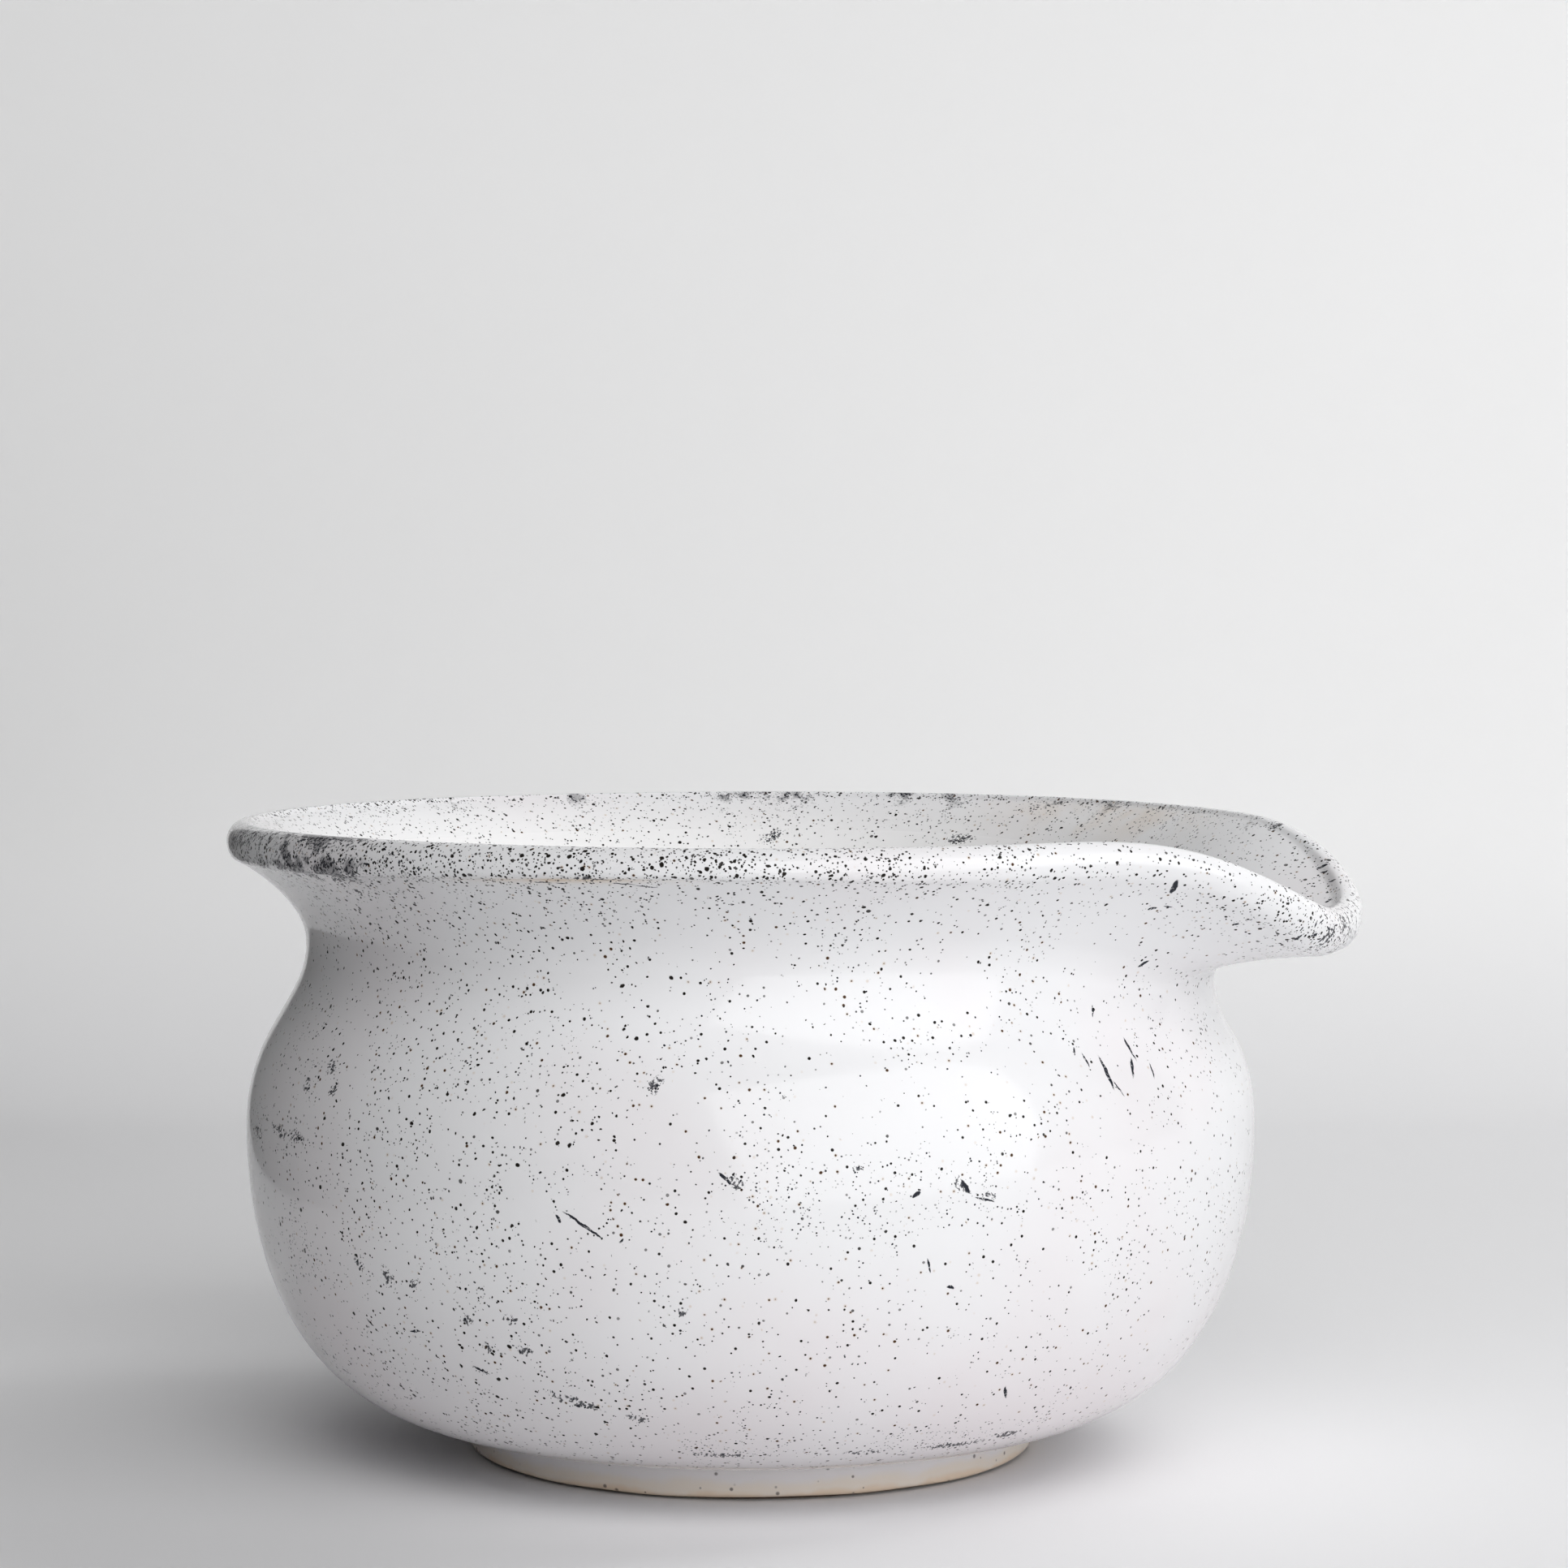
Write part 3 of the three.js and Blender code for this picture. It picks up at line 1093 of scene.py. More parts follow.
@dataclass(frozen=True)
class SpeckledGlaze:
    """Glossy white glaze with iron specks, peppery patches, rubs and a dark wash on the rim."""

    section: BowlSection
    axis: Vector
    scuffs: tuple[Scuff, ...]
    white: Colour = (0.83, 0.83, 0.845)
    blush: Colour = (0.80, 0.755, 0.775)
    # Painted light: the inside is painted paler than the outside white.
    inside: Colour = (0.95, 0.945, 0.945)
    warm: Colour = (0.70, 0.53, 0.36)
    iron: Colour = (0.016, 0.013, 0.011)
    rust: Colour = (0.12, 0.05, 0.018)
    halo: Colour = (0.52, 0.36, 0.2)
    graphite: Colour = (0.022, 0.024, 0.033)
    shine: Ease = Ease(0.05, 0.4, 0.1, 0.42)
    roughness: Ease = Ease(0.0, 1.0, 0.1, 0.32)
    ripple_size: float = 5 * MM
    ripple: float = 0.12
    ripple_depth: float = 0.1 * MM
    patch_size: float = 9 * MM
    cloud_size: float = 28 * MM
    grain_size: float = 0.9 * MM
    cluster_size: float = 2.4 * MM
    clustered: Ease = Ease(0.4, 0.62, 0.2, 1.0)
    unevenness: tuple[float, ...] = (0.16 * MM, 0.35 * MM, 0.5 * MM, 1.3 * MM)
    hollow: Ease = Ease(0.0, 0.6)
    low_blush: Ease = Ease(34 * MM, 6 * MM, 0.0, 0.55)
    cloud_blush: Ease = Ease(0.42, 0.72, 0.0, 0.5)
    warm_patches: Ease = Ease(0.38, 0.6, 0.15, 0.85)
    speck_spacing: float = 0.88 * MM
    speck_radii: Point = (0.12, 0.25)
    speck_density: Ease = Ease(0.3, 0.7, 0.2, 0.85)
    speck_depth: Ease = Ease(0.0, 0.3, 0.7, 1.0)
    rusty: Ease = Ease(0.78, 0.82)
    rust_share: float = 0.5
    halo_run: Ease = Ease(0.34, 0.1, 0.0, 0.45)
    pepper_spacing: float = 0.4 * MM
    pepper_radii: Point = (0.16, 0.36)
    pepper_depth: Ease = Ease(0.0, 0.6, 0.4, 1.0)
    thin_pepper: Ease = Ease(0.42, 0.75, 0.03, 0.25)
    string_size: float = 5 * MM
    string_run: Ease = Ease(0.03, 0.01, 0.0, 0.5)
    string_patches: Ease = Ease(0.45, 0.6)
    rim_specks: tuple[Point, ...] = ((0.4 * MM, 0.78), (0.54 * MM, 0.9), (0.8 * MM, 0.66))
    rim_radii: Point = (0.2, 0.38)
    rim_depth: Ease = Ease(0.0, 0.2, 0.85, 1.0)
    rim_clusters: Ease = Ease(0.2, 1.0, 0.55, 1.15)
    smear_clusters: Ease = Ease(0.2, 1.0, 0.55, 1.0)
    smear_veil: Ease = Ease(0.45, 1.0, 0.0, 0.62)
    smear_density: float = 0.7
    smear_weight: float = 0.12
    rub_density: Ease = Ease(0.0, 0.9, 0.0, 0.85)
    rub_weight: float = 0.16
    brush_turn: Euler = Euler((0.9, 0.5, 0.2))
    brush_stretch: Vector = Vector((1.0, 1.0, 2.4))
    dash_spacing: float = 0.36 * MM
    dash_radii: Point = (0.16, 0.42)
    dash_depth: Ease = Ease(0.0, 0.5, 0.4, 1.0)
    stroke_size: float = 0.34 * MM
    stroke_run: Ease = Ease(0.62, 0.7)
    stroke_depth: Ease = Ease(0.25, 0.7, 0.0, 0.9)
    hatch_size: float = 0.32 * MM
    hatch_run: Ease = Ease(0.3, 0.45, 0.3, 1.0)
    streak_run: Ease = Ease(0.0, 0.35)
    mark_run: Ease = Ease(0.0, 0.75)

    def build(self, name: str) -> bpy.types.Material:
        """Makes the material, one layer over another.

        Args:
            name: the material's name.

        Returns:
            The material.
        """
        layers = GlazeLayers(name, self)
        layers.ground()
        layers.specked()
        layers.peppered()
        layers.washed()
        layers.rubbed()
        layers.streaked()
        layers.surface()
        return layers.material


class GlazeLayers(Graph):
    """Builds the nodes of a speckled glaze, whose colour each layer changes."""

    def __init__(self, name: str, finish: SpeckledGlaze) -> None:
        """Starts the material with the noises and uneven coordinates that its layers share.

        Args:
            name: the material's name.
            finish: what the layers look like.
        """
        super().__init__(name)
        self.finish = finish
        self.colour: Socket | Colour = finish.white
        self.patches = self.noise(finish.patch_size, FINE).outputs["Fac"]
        grain = self.noise(finish.grain_size, FINE).outputs["Color"]
        self.clusters = self.eased(self.noise(finish.cluster_size).outputs["Fac"], finish.clustered)
        self.hollow = self.eased(self.attribute(Attribute.HOLLOW), finish.hollow)
        moved = [self.moved(grain, reach) for reach in finish.unevenness]
        self.uneven, self.blots, self.ragged, self.rough = moved

    def paint(self, cover: Value, colour: Socket | Colour) -> None:
        """Lays a colour over the layers so far."""
        self.colour = self.mix(cover, self.colour, colour)

    def scuffed(self, kind: Mark, vector: Socket) -> Socket:
        """Gathers all marks of one kind.

        Args:
            kind: the kind of mark.
            vector: the coordinates that the marks lie in.

        Returns:
            Their cover, 1 in the middle of a mark and 0 outside.
        """
        finish = self.finish
        millimetres = self.mapped(Vector(), Euler(), Vector((MM, MM, MM)), vector)
        cover: Value = 0.0
        for scuff in finish.scuffs:
            if scuff.kind is kind:
                near = self.mapped(*scuff.frame_on(finish.section, finish.axis), millimetres)
                cover = self.math("MAXIMUM", self.ball(near), cover)
        return self.eased(cover, finish.mark_run)

    def ground(self) -> None:
        """Lets the white blush low down and warm at its thin edges, paints the inside paler as painted light,
        and leaves the spout's inside at the outside white as painted shade.
        """
        finish = self.finish
        cloud = self.eased(self.noise(finish.cloud_size).outputs["Fac"], finish.cloud_blush)
        low = self.eased(self.height(), finish.low_blush)
        self.paint(self.math("ADD", low, cloud), finish.blush)
        # Painted light on the inside, held back towards the spout as painted shade.
        self.paint(self.hollow, finish.inside)
        edge = self.attribute(Attribute.EDGE)
        self.paint(self.times(edge, self.eased(self.patches, finish.warm_patches)), finish.warm)

    def specked(self) -> None:
        """Scatters iron specks, some of them rusty with a halo."""
        finish = self.finish
        density = self.eased(self.patches, finish.speck_density)
        specks, chance = self.specks(self.uneven, finish.speck_spacing, density, finish.speck_radii)
        rusty = self.eased(chance[2], finish.rusty)
        away, _ = self.cells(finish.speck_spacing, self.uneven)
        stain = self.times(self.eased(away, finish.halo_run), rusty)
        self.paint(self.times(stain, self.math("LESS_THAN", chance[1], density)), finish.halo)
        tint = self.mix(self.times(rusty, finish.rust_share), finish.iron, finish.rust)
        self.paint(self.times(specks, self.eased(chance[2], finish.speck_depth)), tint)

    def peppered(self) -> None:
        """Strews fine dark pepper over its marks, in thin strings and a little everywhere."""
        finish = self.finish
        strewn = self.times(self.scuffed(Mark.PEPPER, self.rough), self.clusters)
        contour = self.math("SUBTRACT", self.noise(finish.string_size).outputs["Fac"], GREY)
        strings = self.eased(self.math("ABSOLUTE", contour), finish.string_run)
        strings = self.times(strings, self.eased(self.patches, finish.string_patches))
        thin = self.eased(self.patches, finish.thin_pepper)
        density = self.math("ADD", self.math("ADD", strewn, strings), thin)
        pepper, chance = self.specks(self.blots, finish.pepper_spacing, density, finish.pepper_radii)
        self.paint(self.times(pepper, self.eased(chance[2], finish.pepper_depth)), finish.graphite)

    def washed(self) -> None:
        """Scatters the dense specks of the wash on the rim, in three sizes."""
        finish = self.finish
        wash = self.attribute(Attribute.WASH)
        density = self.times(wash, self.eased(self.clusters, finish.rim_clusters))
        for spacing, share in finish.rim_specks:
            part = self.times(density, share)
            specks, chance = self.specks(self.ragged, spacing, part, finish.rim_radii)
            self.paint(self.times(specks, self.eased(chance[2], finish.rim_depth)), finish.iron)

    def rubbed(self) -> None:
        """Adds rubs and smears, with dashes and strokes that run one way."""
        finish = self.finish
        rubs = self.scuffed(Mark.RUB, self.rough)
        smear = self.attribute(Attribute.SMEAR)
        smear = self.times(smear, self.eased(self.clusters, finish.smear_clusters))
        self.paint(self.eased(smear, finish.smear_veil), finish.graphite)
        brushed = self.mapped(Vector(), finish.brush_turn, finish.brush_stretch, self.blots)
        rub_density = self.eased(rubs, finish.rub_density)
        density = self.math("MAXIMUM", rub_density, self.times(smear, finish.smear_density))
        dashes, chance = self.specks(brushed, finish.dash_spacing, density, finish.dash_radii)
        self.paint(self.times(dashes, self.eased(chance[2], finish.dash_depth)), finish.graphite)
        strokes = self.noise(finish.stroke_size, FINEST, brushed).outputs["Fac"]
        rub_weight = self.times(rubs, finish.rub_weight)
        heavy = self.math("MAXIMUM", rub_weight, self.times(smear, finish.smear_weight))
        core = self.eased(self.math("ADD", strokes, heavy), finish.stroke_run)
        depth = self.eased(self.math("MAXIMUM", rubs, smear), finish.stroke_depth)
        self.paint(self.times(core, depth), finish.graphite)

    def streaked(self) -> None:
        """Adds the single dark streaks."""
        finish = self.finish
        hatch = self.noise(finish.hatch_size, FINEST, self.uneven).outputs["Fac"]
        streaks = self.eased(self.scuffed(Mark.STREAK, self.ragged), finish.streak_run)
        self.paint(self.times(streaks, self.eased(hatch, finish.hatch_run)), finish.graphite)

    def surface(self) -> None:
        """Sets the shader: dull where it is dark, rougher inside, and with faint ripples."""
        finish, inputs = self.finish, self.shader.inputs
        self.put(self.colour, inputs["Base Color"])
        self.put(self.eased(self.lightness(self.colour), finish.shine), inputs["Specular IOR Level"])
        self.put(self.eased(self.hollow, finish.roughness), inputs["Roughness"])
        self.bump(self.noise(finish.ripple_size).outputs["Fac"], finish.ripple, finish.ripple_depth)


@dataclass(frozen=True)
class WarmFootGlaze:
    """Pale glaze on the foot that turns cream and then orange where it thins out over the clay."""

    pale: Colour = (0.86, 0.83, 0.835)
    cream: Colour = (0.87, 0.79, 0.70)
    orange: Colour = (0.82, 0.65, 0.49)
    junction_line: Colour = (0.5, 0.43, 0.45)
    iron: Colour = (0.05, 0.035, 0.03)
    roughness: float = 0.16
    cloud_size: float = 6 * MM
    sway: Ease = Ease(0.3, 0.7, -0.4 * MM, 0.4 * MM)
    cream_below: Ease = Ease(2.9 * MM, 1.5 * MM)
    orange_below: Ease = Ease(1.3 * MM, 0.5 * MM, 0.0, 0.8)
    junction_line_above: Ease = Ease(4.0 * MM, 4.25 * MM, 0.0, 0.6)
    speck_spacing: float = 1.6 * MM
    speck_share: float = 0.9
    speck_radii: Point = (0.1, 0.22)
    speck_core: float = 0.4
    speck_depth: float = 0.75
    ripple: float = 0.1
    ripple_depth: float = 0.1 * MM

    def build(self, name: str) -> bpy.types.Material:
        """Makes the material.

        Args:
            name: the material's name.

        Returns:
            The material.
        """
        graph = Graph(name)
        cloud = graph.noise(self.cloud_size, FINE).outputs["Fac"]
        height = graph.math("ADD", graph.height(), graph.eased(cloud, self.sway))
        colour = graph.mix(graph.eased(height, self.cream_below), self.pale, self.cream)
        colour = graph.mix(graph.eased(height, self.orange_below), colour, self.orange)
        # Darker line along the top of the band, where the foot meets the bowl.
        colour = graph.mix(graph.eased(graph.height(), self.junction_line_above), colour, self.junction_line)
        specks, _ = graph.specks(
            graph.coords, self.speck_spacing, self.speck_share, self.speck_radii, self.speck_core
        )
        colour = graph.mix(graph.times(specks, self.speck_depth), colour, self.iron)
        graph.put(colour, graph.shader.inputs["Base Color"])
        graph.shader.inputs["Roughness"].default_value = self.roughness
        graph.bump(cloud, self.ripple, self.ripple_depth)
        return graph.material


@dataclass(frozen=True)
class BareStoneware:
    """Matt fired clay with fine grog, darkened just above the table as a painted contact shadow."""

    tan: Colour = (0.52, 0.37, 0.23)
    toasted: Colour = (0.36, 0.21, 0.11)
    grog: Colour = (0.14, 0.08, 0.05)
    # Painted contact shadow: dark colour for the clay just above the table.
    contact_shadow: Colour = (0.09, 0.055, 0.035)
    roughness: Ease = Ease(0.3, 0.7, 0.72, 0.92)
    cloud_size: float = 7 * MM
    toasted_cloud: Ease = Ease(0.38, 0.68, 0.0, 0.8)
    contact_shadow_above: Ease = Ease(0.03 * MM, 0.1 * MM)
    contact_shadow_below: Ease = Ease(1.1 * MM, 0.6 * MM)
    grog_spacing: float = 0.9 * MM
    grog_share: float = 0.5
    grog_radii: Point = (0.08, 0.26)
    grog_core: float = 0.04
    grain_size: float = 0.35 * MM
    grain: float = 0.5
    grain_depth: float = 0.08 * MM

    def build(self, name: str) -> bpy.types.Material:
        """Makes the material.

        Args:
            name: the material's name.

        Returns:
            The material.
        """
        graph = Graph(name)
        cloud = graph.noise(self.cloud_size, FINEST).outputs["Fac"]
        grain = graph.noise(self.grain_size, FINEST).outputs["Fac"]
        colour = graph.mix(graph.eased(cloud, self.toasted_cloud), self.tan, self.toasted)
        # Painted contact shadow: darkens the clay from just above the table to about a millimetre up.
        above = graph.eased(graph.height(), self.contact_shadow_above)
        below = graph.eased(graph.height(), self.contact_shadow_below)
        colour = graph.mix(graph.times(above, below), colour, self.contact_shadow)
        away, chance = graph.cells(self.grog_spacing)
        fleck = graph.ramp(away, graph.ramp(chance[0], 0.0, 1.0, *self.grog_radii), self.grog_core)
        kept = graph.math("LESS_THAN", chance[1], self.grog_share)
        colour = graph.mix(graph.times(fleck, kept), colour, self.grog)
        graph.put(colour, graph.shader.inputs["Base Color"])
        graph.put(graph.eased(grain, self.roughness), graph.shader.inputs["Roughness"])
        graph.bump(grain, self.grain, self.grain_depth)
        return graph.material


@dataclass(frozen=True)
class Panel:
    """A soft light: where it stands round the bowl, how large it is and how strong.

    Angles are in degrees. Azimuth 0 is behind the camera, 90 its right.
    """

    name: str
    azimuth: float
    elevation: float
    distance: float
    width: float
    tall: float
    power: float
    reflected: bool = True


@dataclass
class Studio:
    """Plain pale floor and backdrop, soft light panels, and the camera."""

    axis: Vector
    facing: float = math.radians(19.7)
    focal_pixels: float = 5203.4
    picture: float = 1932.0
    sensor: float = 36.0
    nearest: float = 10.0 * MM
    camera_side: float = 4.1 * MM
    camera_back: float = 520.0 * MM
    camera_height: float = 106.7 * MM
    camera_pitch: float = 0.0481
    target_height: float = 42.0 * MM
    floor_front: float = 0.26
    floor_back: float = 0.36
    floor_left: float = 0.18
    floor_right: float = 1.0
    sweep_round: float = 0.06
    sweep_steps: int = 10
    wall_height: float = 0.9
    floor_colour: Colour = (0.85, 0.85, 0.86)
    wall_colour: Colour = (0.96, 0.96, 0.96)
    paper_roughness: float = 0.9
    paper_shine: float = 0.1
    ground_colour: Colour = (0.76, 0.76, 0.765)
    fill: float = 0.02
    room: float = 0.16
    panels: tuple[Panel, ...] = (
        Panel("window", 31, 18, 1.2, 1.66, 1.5, 15.2),
        Panel("side_light", 138, 40, 1.2, 1.4, 1.2, 22.0, reflected=False),
        Panel("high_light", 0, 45, 1.2, 0.8, 0.8, 3.8, reflected=False),
    )

    def turned(self, side: float, back: float, height: float) -> Vector:
        """Takes a place beside, behind and above the bowl, as the camera sees it, to the model's frame."""
        return self.axis + Matrix.Rotation(self.facing, 3, "Z") @ Vector((side, back, height))

    def camera(self) -> None:
        """Sets the camera at the photographed angle."""
        data = bpy.data.cameras.new("camera")
        data.sensor_width = self.sensor
        data.lens = self.sensor * self.focal_pixels / self.picture
        data.clip_start = self.nearest
        camera = bpy.data.objects.new("camera", data)
        camera.location = self.turned(self.camera_side, -self.camera_back, self.camera_height)
        camera.rotation_euler = (math.pi / 2 - self.camera_pitch, 0, self.facing)
        bpy.context.scene.collection.objects.link(camera)
        bpy.context.scene.camera = camera

    def paper(self, name: str) -> bpy.types.Material:
        """Makes the matt stage finish, paler up the wall, which shows from its lit side only.

        Args:
            name: the material's name.

        Returns:
            The material.
        """
        graph = Graph(name)
        rise = graph.ramp(graph.height(), 0.0, self.sweep_round)
        graph.put(graph.mix(rise, self.floor_colour, self.wall_colour), graph.shader.inputs["Base Color"])
        graph.shader.inputs["Roughness"].default_value = self.paper_roughness
        graph.shader.inputs["Specular IOR Level"].default_value = self.paper_shine
        nodes, links = graph.tree.nodes, graph.tree.links
        side = nodes.new("ShaderNodeNewGeometry")
        clear = nodes.new("ShaderNodeBsdfTransparent")
        blend = nodes.new("ShaderNodeMixShader")
        links.new(side.outputs["Backfacing"], blend.inputs[0])
        links.new(graph.shader.outputs[0], blend.inputs[1])
        links.new(clear.outputs[0], blend.inputs[2])
        output = next(node for node in nodes if node.type == "OUTPUT_MATERIAL")
        links.new(blend.outputs[0], output.inputs["Surface"])
        return graph.material

    def sweep(self) -> None:
        """Makes the floor and the wall behind it as one sheet with a rounded corner."""
        angles = np.linspace(0, math.pi / 2, self.sweep_steps + 1)
        corner = self.floor_back - self.sweep_round
        backs = corner + self.sweep_round * np.sin(angles)
        heights = self.sweep_round * (1 - np.cos(angles))
        line = [(-self.floor_front, 0.0), *zip(backs, heights), (self.floor_back, self.wall_height)]
        mesh = bmesh.new()
        verts = [mesh.verts.new(self.turned(-self.floor_left, back, height)) for back, height in line]
        edges = [mesh.edges.new(pair) for pair in zip(verts, verts[1:])]
        grown = bmesh.ops.extrude_edge_only(mesh, edges=edges)
        across = self.turned(self.floor_left + self.floor_right, 0, 0) - self.axis
        far = [part for part in grown["geom"] if isinstance(part, bmesh.types.BMVert)]
        bmesh.ops.translate(mesh, vec=across, verts=far)
        bmesh.ops.recalc_face_normals(mesh, faces=mesh.faces)
        # The faces come in another order each run, so all of them tell which way the sheet looks.
        if sum(face.normal.z for face in mesh.faces) < 0:
            bmesh.ops.reverse_faces(mesh, faces=mesh.faces)
        data = bpy.data.meshes.new("floor_and_backdrop")
        mesh.to_mesh(data)
        mesh.free()
        data.shade_smooth()
        data.materials.append(self.paper("stage_paper"))
        stage = bpy.data.objects.new("floor_and_backdrop", data)
        bpy.context.scene.collection.objects.link(stage)

    def light(self, panel: Panel) -> None:
        """Stands one panel round the bowl, facing it.

        Args:
            panel: the panel.
        """
        azimuth, elevation = math.radians(panel.azimuth), math.radians(panel.elevation)
        level = panel.distance * math.cos(elevation)
        rise = panel.distance * math.sin(elevation) + self.target_height
        data = bpy.data.lights.new(panel.name, "AREA")
        data.shape = "RECTANGLE"
        data.size, data.size_y = panel.width, panel.tall
        data.energy = panel.power
        lamp = bpy.data.objects.new(panel.name, data)
        lamp.location = self.turned(level * math.sin(azimuth), -level * math.cos(azimuth), rise)
        aim = self.turned(0, 0, self.target_height) - lamp.location
        lamp.rotation_euler = aim.to_track_quat("-Z", "Y").to_euler()
        lamp.visible_glossy = panel.reflected
        bpy.context.scene.collection.objects.link(lamp)

    def world(self) -> None:
        """Fills the shadows a little, reflects a dim room and shows a pale ground past the stage."""
        world = bpy.data.worlds.new("studio")
        bpy.context.scene.world = world
        world.use_nodes = True
        nodes, links = world.node_tree.nodes, world.node_tree.links
        shown = nodes["Background"]
        shown.inputs["Color"].default_value = (1.0, 1.0, 1.0, 1.0)
        shown.inputs["Strength"].default_value = self.fill
        seen = nodes.new("ShaderNodeLightPath")
        for ray, colour in (("Is Glossy Ray", (self.room,) * 3), ("Is Camera Ray", self.ground_colour)):
            ground = nodes.new("ShaderNodeBackground")
            ground.inputs["Color"].default_value = (*colour, 1.0)
            blend = nodes.new("ShaderNodeMixShader")
            links.new(seen.outputs[ray], blend.inputs[0])
            links.new(shown.outputs[0], blend.inputs[1])
            links.new(ground.outputs[0], blend.inputs[2])
            shown = blend
        links.new(shown.outputs[0], nodes["World Output"].inputs["Surface"])

    def build(self) -> None:
        """Makes the stage, the lights and the camera."""
        bpy.context.scene.view_settings.view_transform = "Standard"
        self.camera()
        self.sweep()
        for panel in self.panels:
            self.light(panel)
        self.world()


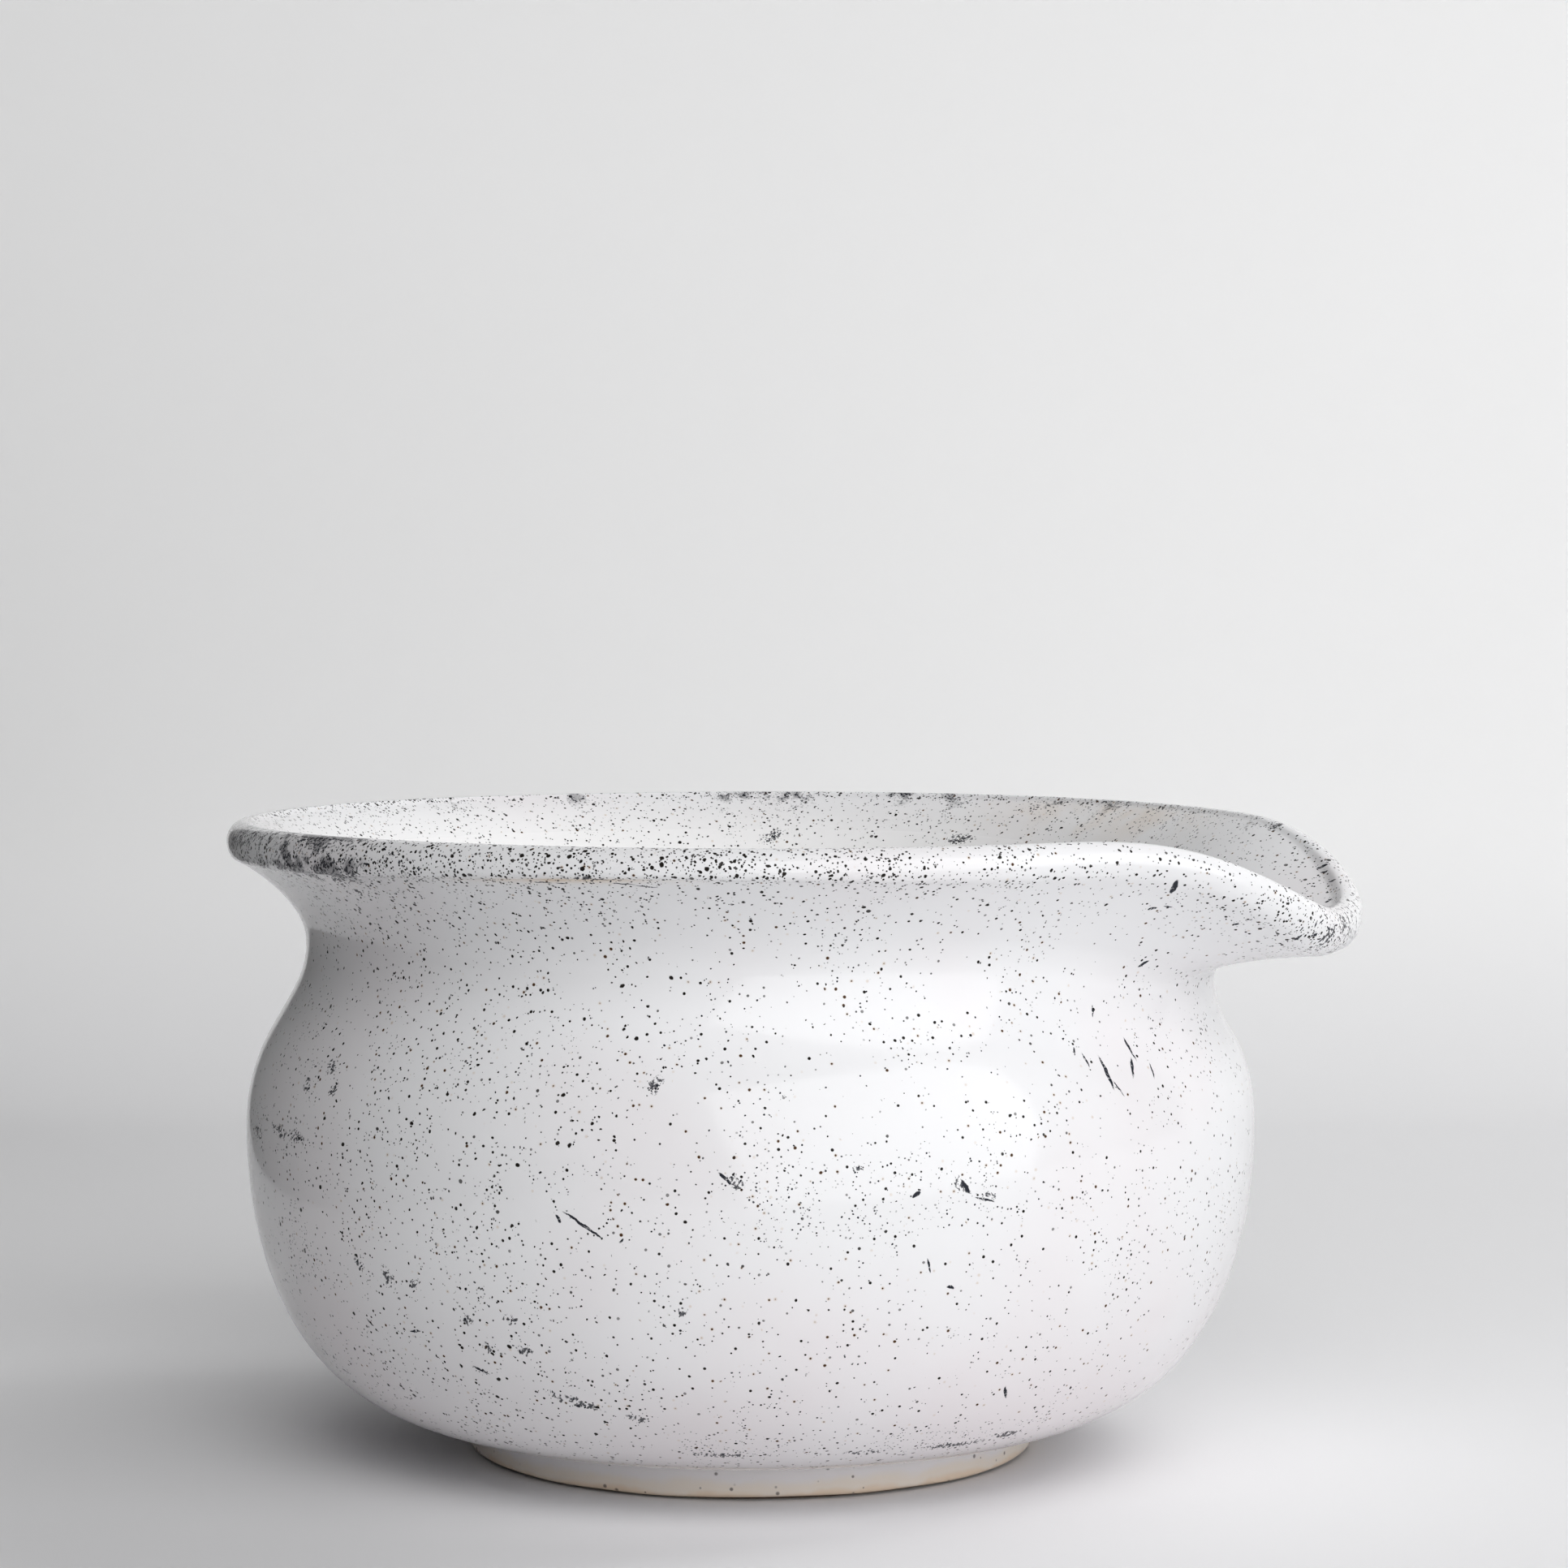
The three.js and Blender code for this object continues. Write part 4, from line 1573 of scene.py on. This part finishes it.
# Marks by azimuth, height, length, breadth and lean
SCUFFS = tuple(
    Scuff(kind, *row, inside=inside)
    for kind, inside, rows in (
        (Mark.RUB, False, (
            (-80, 51.5, 3.4, 2.2, 75), (-47.8, 40.2, 4.6, 2.0, -50), (-6.6, 65.8, 5.0, 3.4, 40),
            (-3.0, 66.8, 5.0, 4.0, 50), (-102.0, 24.0, 3.2, 2.4, 10), (-100.2, 20.8, 2.6, 2.0, 70),
            (-117.0, 28.8, 3.2, 2.6, -35), (-112.5, 28.0, 4.5, 3.0, -60), (-108.5, 27.6, 3.2, 2.0, 50),
            (-90.5, 15.0, 11.0, 2.2, -18), (-83.5, 13.2, 5.0, 1.8, -10), (-96.4, 24.6, 3.0, 2.2, 0),
            (-95.4, 21.0, 3.4, 1.8, -10), (-77.0, 26.5, 2.4, 1.4, 80), (-71.5, 41.2, 3.6, 2.2, -45),
            (-86.5, 74.3, 8.0, 1.4, -2), (-133.0, 42.4, 8.0, 2.6, -8), (-141.0, 41.2, 8.0, 2.6, -8),
            (-124.0, 50.8, 4.0, 2.6, -40), (-128.0, 48.4, 3.4, 2.4, -60), (-42.0, 8.3, 13.0, 2.2),
            (-55.0, 8.3, 9.0, 1.8), (-34.0, 9.0, 7.0, 2.2), (-74.0, 8.3, 10.0, 1.8),
            (-59.0, 42.4, 2.6, 1.0, -20), (-44.8, 38.8, 3.2, 1.2, 0), (-118.7, 75.0, 4.6, 3.2, 75),
            (-119.6, 72.9, 3.6, 2.4, -60), (-117.8, 71.2, 3.2, 1.6, -50), (-122.0, 48.4, 3.4, 2.2, 50),
            (-128.0, 42.3, 6.0, 2.4, -8), (96.0, 47.0, 4.2, 2.4, 40), (140.0, 27.0, 4.0, 2.6, -30),
            (170.0, 44.0, 4.0, 2.4, 70),
        )),
        (Mark.STREAK, False, (
            (-87.2, 36.0, 6.6, 0.42, -32), (-89.9, 36.6, 1.4, 0.45, -55), (-83.2, 34.4, 0.9, 0.35, 40),
            (-52.8, 39.4, 1.3, 0.7, 25), (-47.4, 40.0, 2.2, 0.6, -55), (-45.2, 38.4, 3.0, 0.3, -15),
            (-27.0, 51.0, 5.2, 0.6, -84), (-26.0, 49.2, 2.6, 0.3, -60), (-29.4, 52.6, 2.2, 0.35, -80),
            (-30.6, 53.6, 1.3, 0.3, 70), (-21.5, 53.2, 3.6, 0.5, -82), (-22.6, 51.2, 3.4, 0.5, 65),
            (-19.4, 50.6, 2.4, 0.3, 80), (-25.4, 57.6, 1.8, 0.3, 75), (-23.8, 72.2, 2.8, 0.85, 84),
            (-23.5, 69.6, 1.5, 0.6, 12), (-22.2, 69.8, 1.4, 0.3, -8), (-15.0, 67.5, 0.9, 0.5, 20),
            (-10.0, 65.7, 1.7, 0.5, 60), (-10.6, 66.7, 0.8, 0.3, 80), (-8.8, 65.9, 1.1, 0.6, 20),
            (-9.2, 67.3, 1.3, 0.3, 70), (-8.4, 67.5, 1.2, 0.28, 30), (-7.4, 65.2, 1.1, 0.3, 45),
            (-7.2, 66.6, 0.9, 0.3, -40), (-6.0, 66.0, 1.9, 0.32, 60), (-5.5, 66.8, 1.3, 0.3, 10),
            (-4.0, 65.1, 1.6, 0.32, -30), (-3.0, 66.4, 1.5, 0.3, 60), (-1.2, 65.8, 1.6, 0.32, 75),
            (-7.5, 68.1, 1.2, 0.3, -50), (-3.7, 67.6, 1.5, 0.34, 35), (-1.2, 67.2, 1.6, 0.36, 70),
            (-2.2, 65.0, 1.4, 0.34, 50), (-6.8, 64.6, 1.2, 0.32, 15), (-9.4, 64.8, 1.0, 0.34, -60),
            (2.0, 66.6, 1.6, 0.36, 65), (3.0, 67.8, 1.3, 0.34, 20), (0.5, 67.4, 1.4, 0.32, 40),
            (-18.0, 62.6, 1.9, 0.6, 35), (-51.2, 31.3, 2.2, 0.35, -75), (-48.6, 28.7, 1.2, 0.6, -15),
            (-101.8, 18.0, 2.6, 0.4, -22), (-38.8, 15.2, 2.4, 0.45, -70), (-72.5, 41.6, 2.4, 0.45, -45),
            (-91.2, 73.7, 2.4, 0.26, 4), (-89.2, 73.6, 1.6, 0.24, -8), (-84.8, 74.2, 2.4, 0.3, -6),
            (-82.6, 73.7, 3.0, 0.26, -8), (-80.4, 73.4, 3.0, 0.24, -9), (-110.0, 21.8, 2.2, 0.35, 8),
            (-117.5, 21.8, 1.6, 0.35, -40), (78.0, 34.0, 4.5, 0.4, 25),
        )),
        (Mark.STREAK, True, (
            (0.0, 68.5, 1.3, 0.4, -20), (7.5, 68.4, 1.6, 0.5, 70), (10.5, 70.5, 1.8, 0.35, 20),
            (13.4, 72.0, 2.0, 0.5, 35), (12.6, 71.4, 1.6, 0.35, 10),
        )),
        (Mark.RUB, True, (
            (107.0, 72.0, 6.0, 3.0, 30), (79.0, 72.0, 7.0, 3.0, 10), (23.0, 76.4, 4.0, 2.0, 40),
        )),
        (Mark.PEPPER, False, (
            (-5.0, 66.8, 11.0, 7.0), (-69.4, 42.4, 5.0, 3.0, 20), (-66.2, 41.0, 7.0, 3.0, -10),
            (-63.0, 42.2, 5.0, 3.0, 15), (-55.8, 40.4, 7.0, 4.0, 10), (-52.4, 43.6, 5.0, 4.0, 60),
            (-69.0, 36.0, 4.0, 3.4, 0), (-57.6, 35.8, 6.0, 3.0, -15), (-55.0, 33.4, 5.0, 3.0, -25),
            (-63.6, 37.6, 5.0, 2.4, 5), (-57.0, 39.0, 44.0, 12.0), (-57.0, 38.0, 24.0, 8.0),
            (-69.5, 36.4, 5.0, 4.0), (-41.3, 31.2, 5.0, 4.0), (-95.0, 28.2, 6.0, 4.5),
            (-126.0, 49.5, 14.0, 10.0), (-44.0, 9.4, 36.0, 8.0, 2), (-70.0, 9.4, 26.0, 7.0),
            (-97.0, 39.6, 7.0, 5.0, 40), (-94.8, 43.3, 5.6, 4.6), (-103.4, 30.6, 7.0, 8.0),
            (-99.8, 26.6, 6.0, 6.0), (-112.5, 14.2, 6.0, 3.0, -12), (-97.2, 22.4, 9.0, 7.0, -10),
            (-117.0, 27.5, 12.0, 8.0), (-86.2, 42.3, 6.0, 4.6), (-108.0, 44.0, 9.0, 7.0, 30),
            (-104.0, 52.6, 9.0, 6.0, -20), (-31.0, 74.5, 9.0, 5.0, -20), (-18.2, 73.6, 7.0, 3.0, -20),
            (-138.0, 42.0, 26.0, 9.0, -6), (-130.0, 30.0, 16.0, 14.0), (120.0, 38.0, 34.0, 10.0, 4),
            (62.0, 30.0, 18.0, 8.0, -10),
        )),
    )
    for row in rows
)


def bowl_sections() -> tuple[Vector, BowlSection, TurnedFoot]:
    """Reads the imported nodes' boxes.

    Returns:
        The foot of the bowl's axis, the bowl's section and the turned foot.
    """
    foot_low, foot_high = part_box("foot_glaze")
    ring_low, ring_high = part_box("foot_ring")
    rim_low, rim_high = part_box("rim_glaze")
    outside_low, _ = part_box("outside_glaze")
    axis = Vector(((ring_low.x + ring_high.x) / 2, (ring_low.y + ring_high.y) / 2, 0.0))
    rim_radius = axis.x - rim_low.x
    section = BowlSection(
        foot_radius=(foot_high.x - foot_low.x) / 2,
        foot_height=outside_low.z,
        rim_radius=rim_radius,
        rim_height=rim_high.z,
        spout_reach=rim_high.x - axis.x - rim_radius,
    )
    foot = TurnedFoot(
        wheel=Wheel(axis, columns=192),
        glaze_radius=section.foot_radius,
        ring_radius=(ring_high.x - ring_low.x) / 2,
        ring_top=ring_high.z,
    )
    return axis, section, foot


def main() -> None:
    """Builds the bowl's coats and foot, dresses the clay, and sets the studio."""
    logging.basicConfig(level=logging.INFO, format="%(message)s")
    axis, section, foot = bowl_sections()
    glaze = SpeckledGlaze(section, axis, SCUFFS)
    finishes = {
        "white_glaze": glaze.build("white_glaze"),
        "speckled_rim_glaze": glaze.build("speckled_rim_glaze"),
        "warm_foot_glaze": WarmFootGlaze().build("warm_foot_glaze"),
        "stoneware": BareStoneware().build("stoneware"),
    }
    GlazedBowl(section, Wheel(axis)).build(finishes)
    foot.build(finishes)
    for node in ("stoneware_bowl", "pouring_spout"):
        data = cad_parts[node].data
        data.materials.clear()
        data.materials.append(finishes["stoneware"])
        LOG.info("%s: packed node, dressed as bare clay", node)
    Studio(axis).build()


if __name__ == "__main__":
    main()
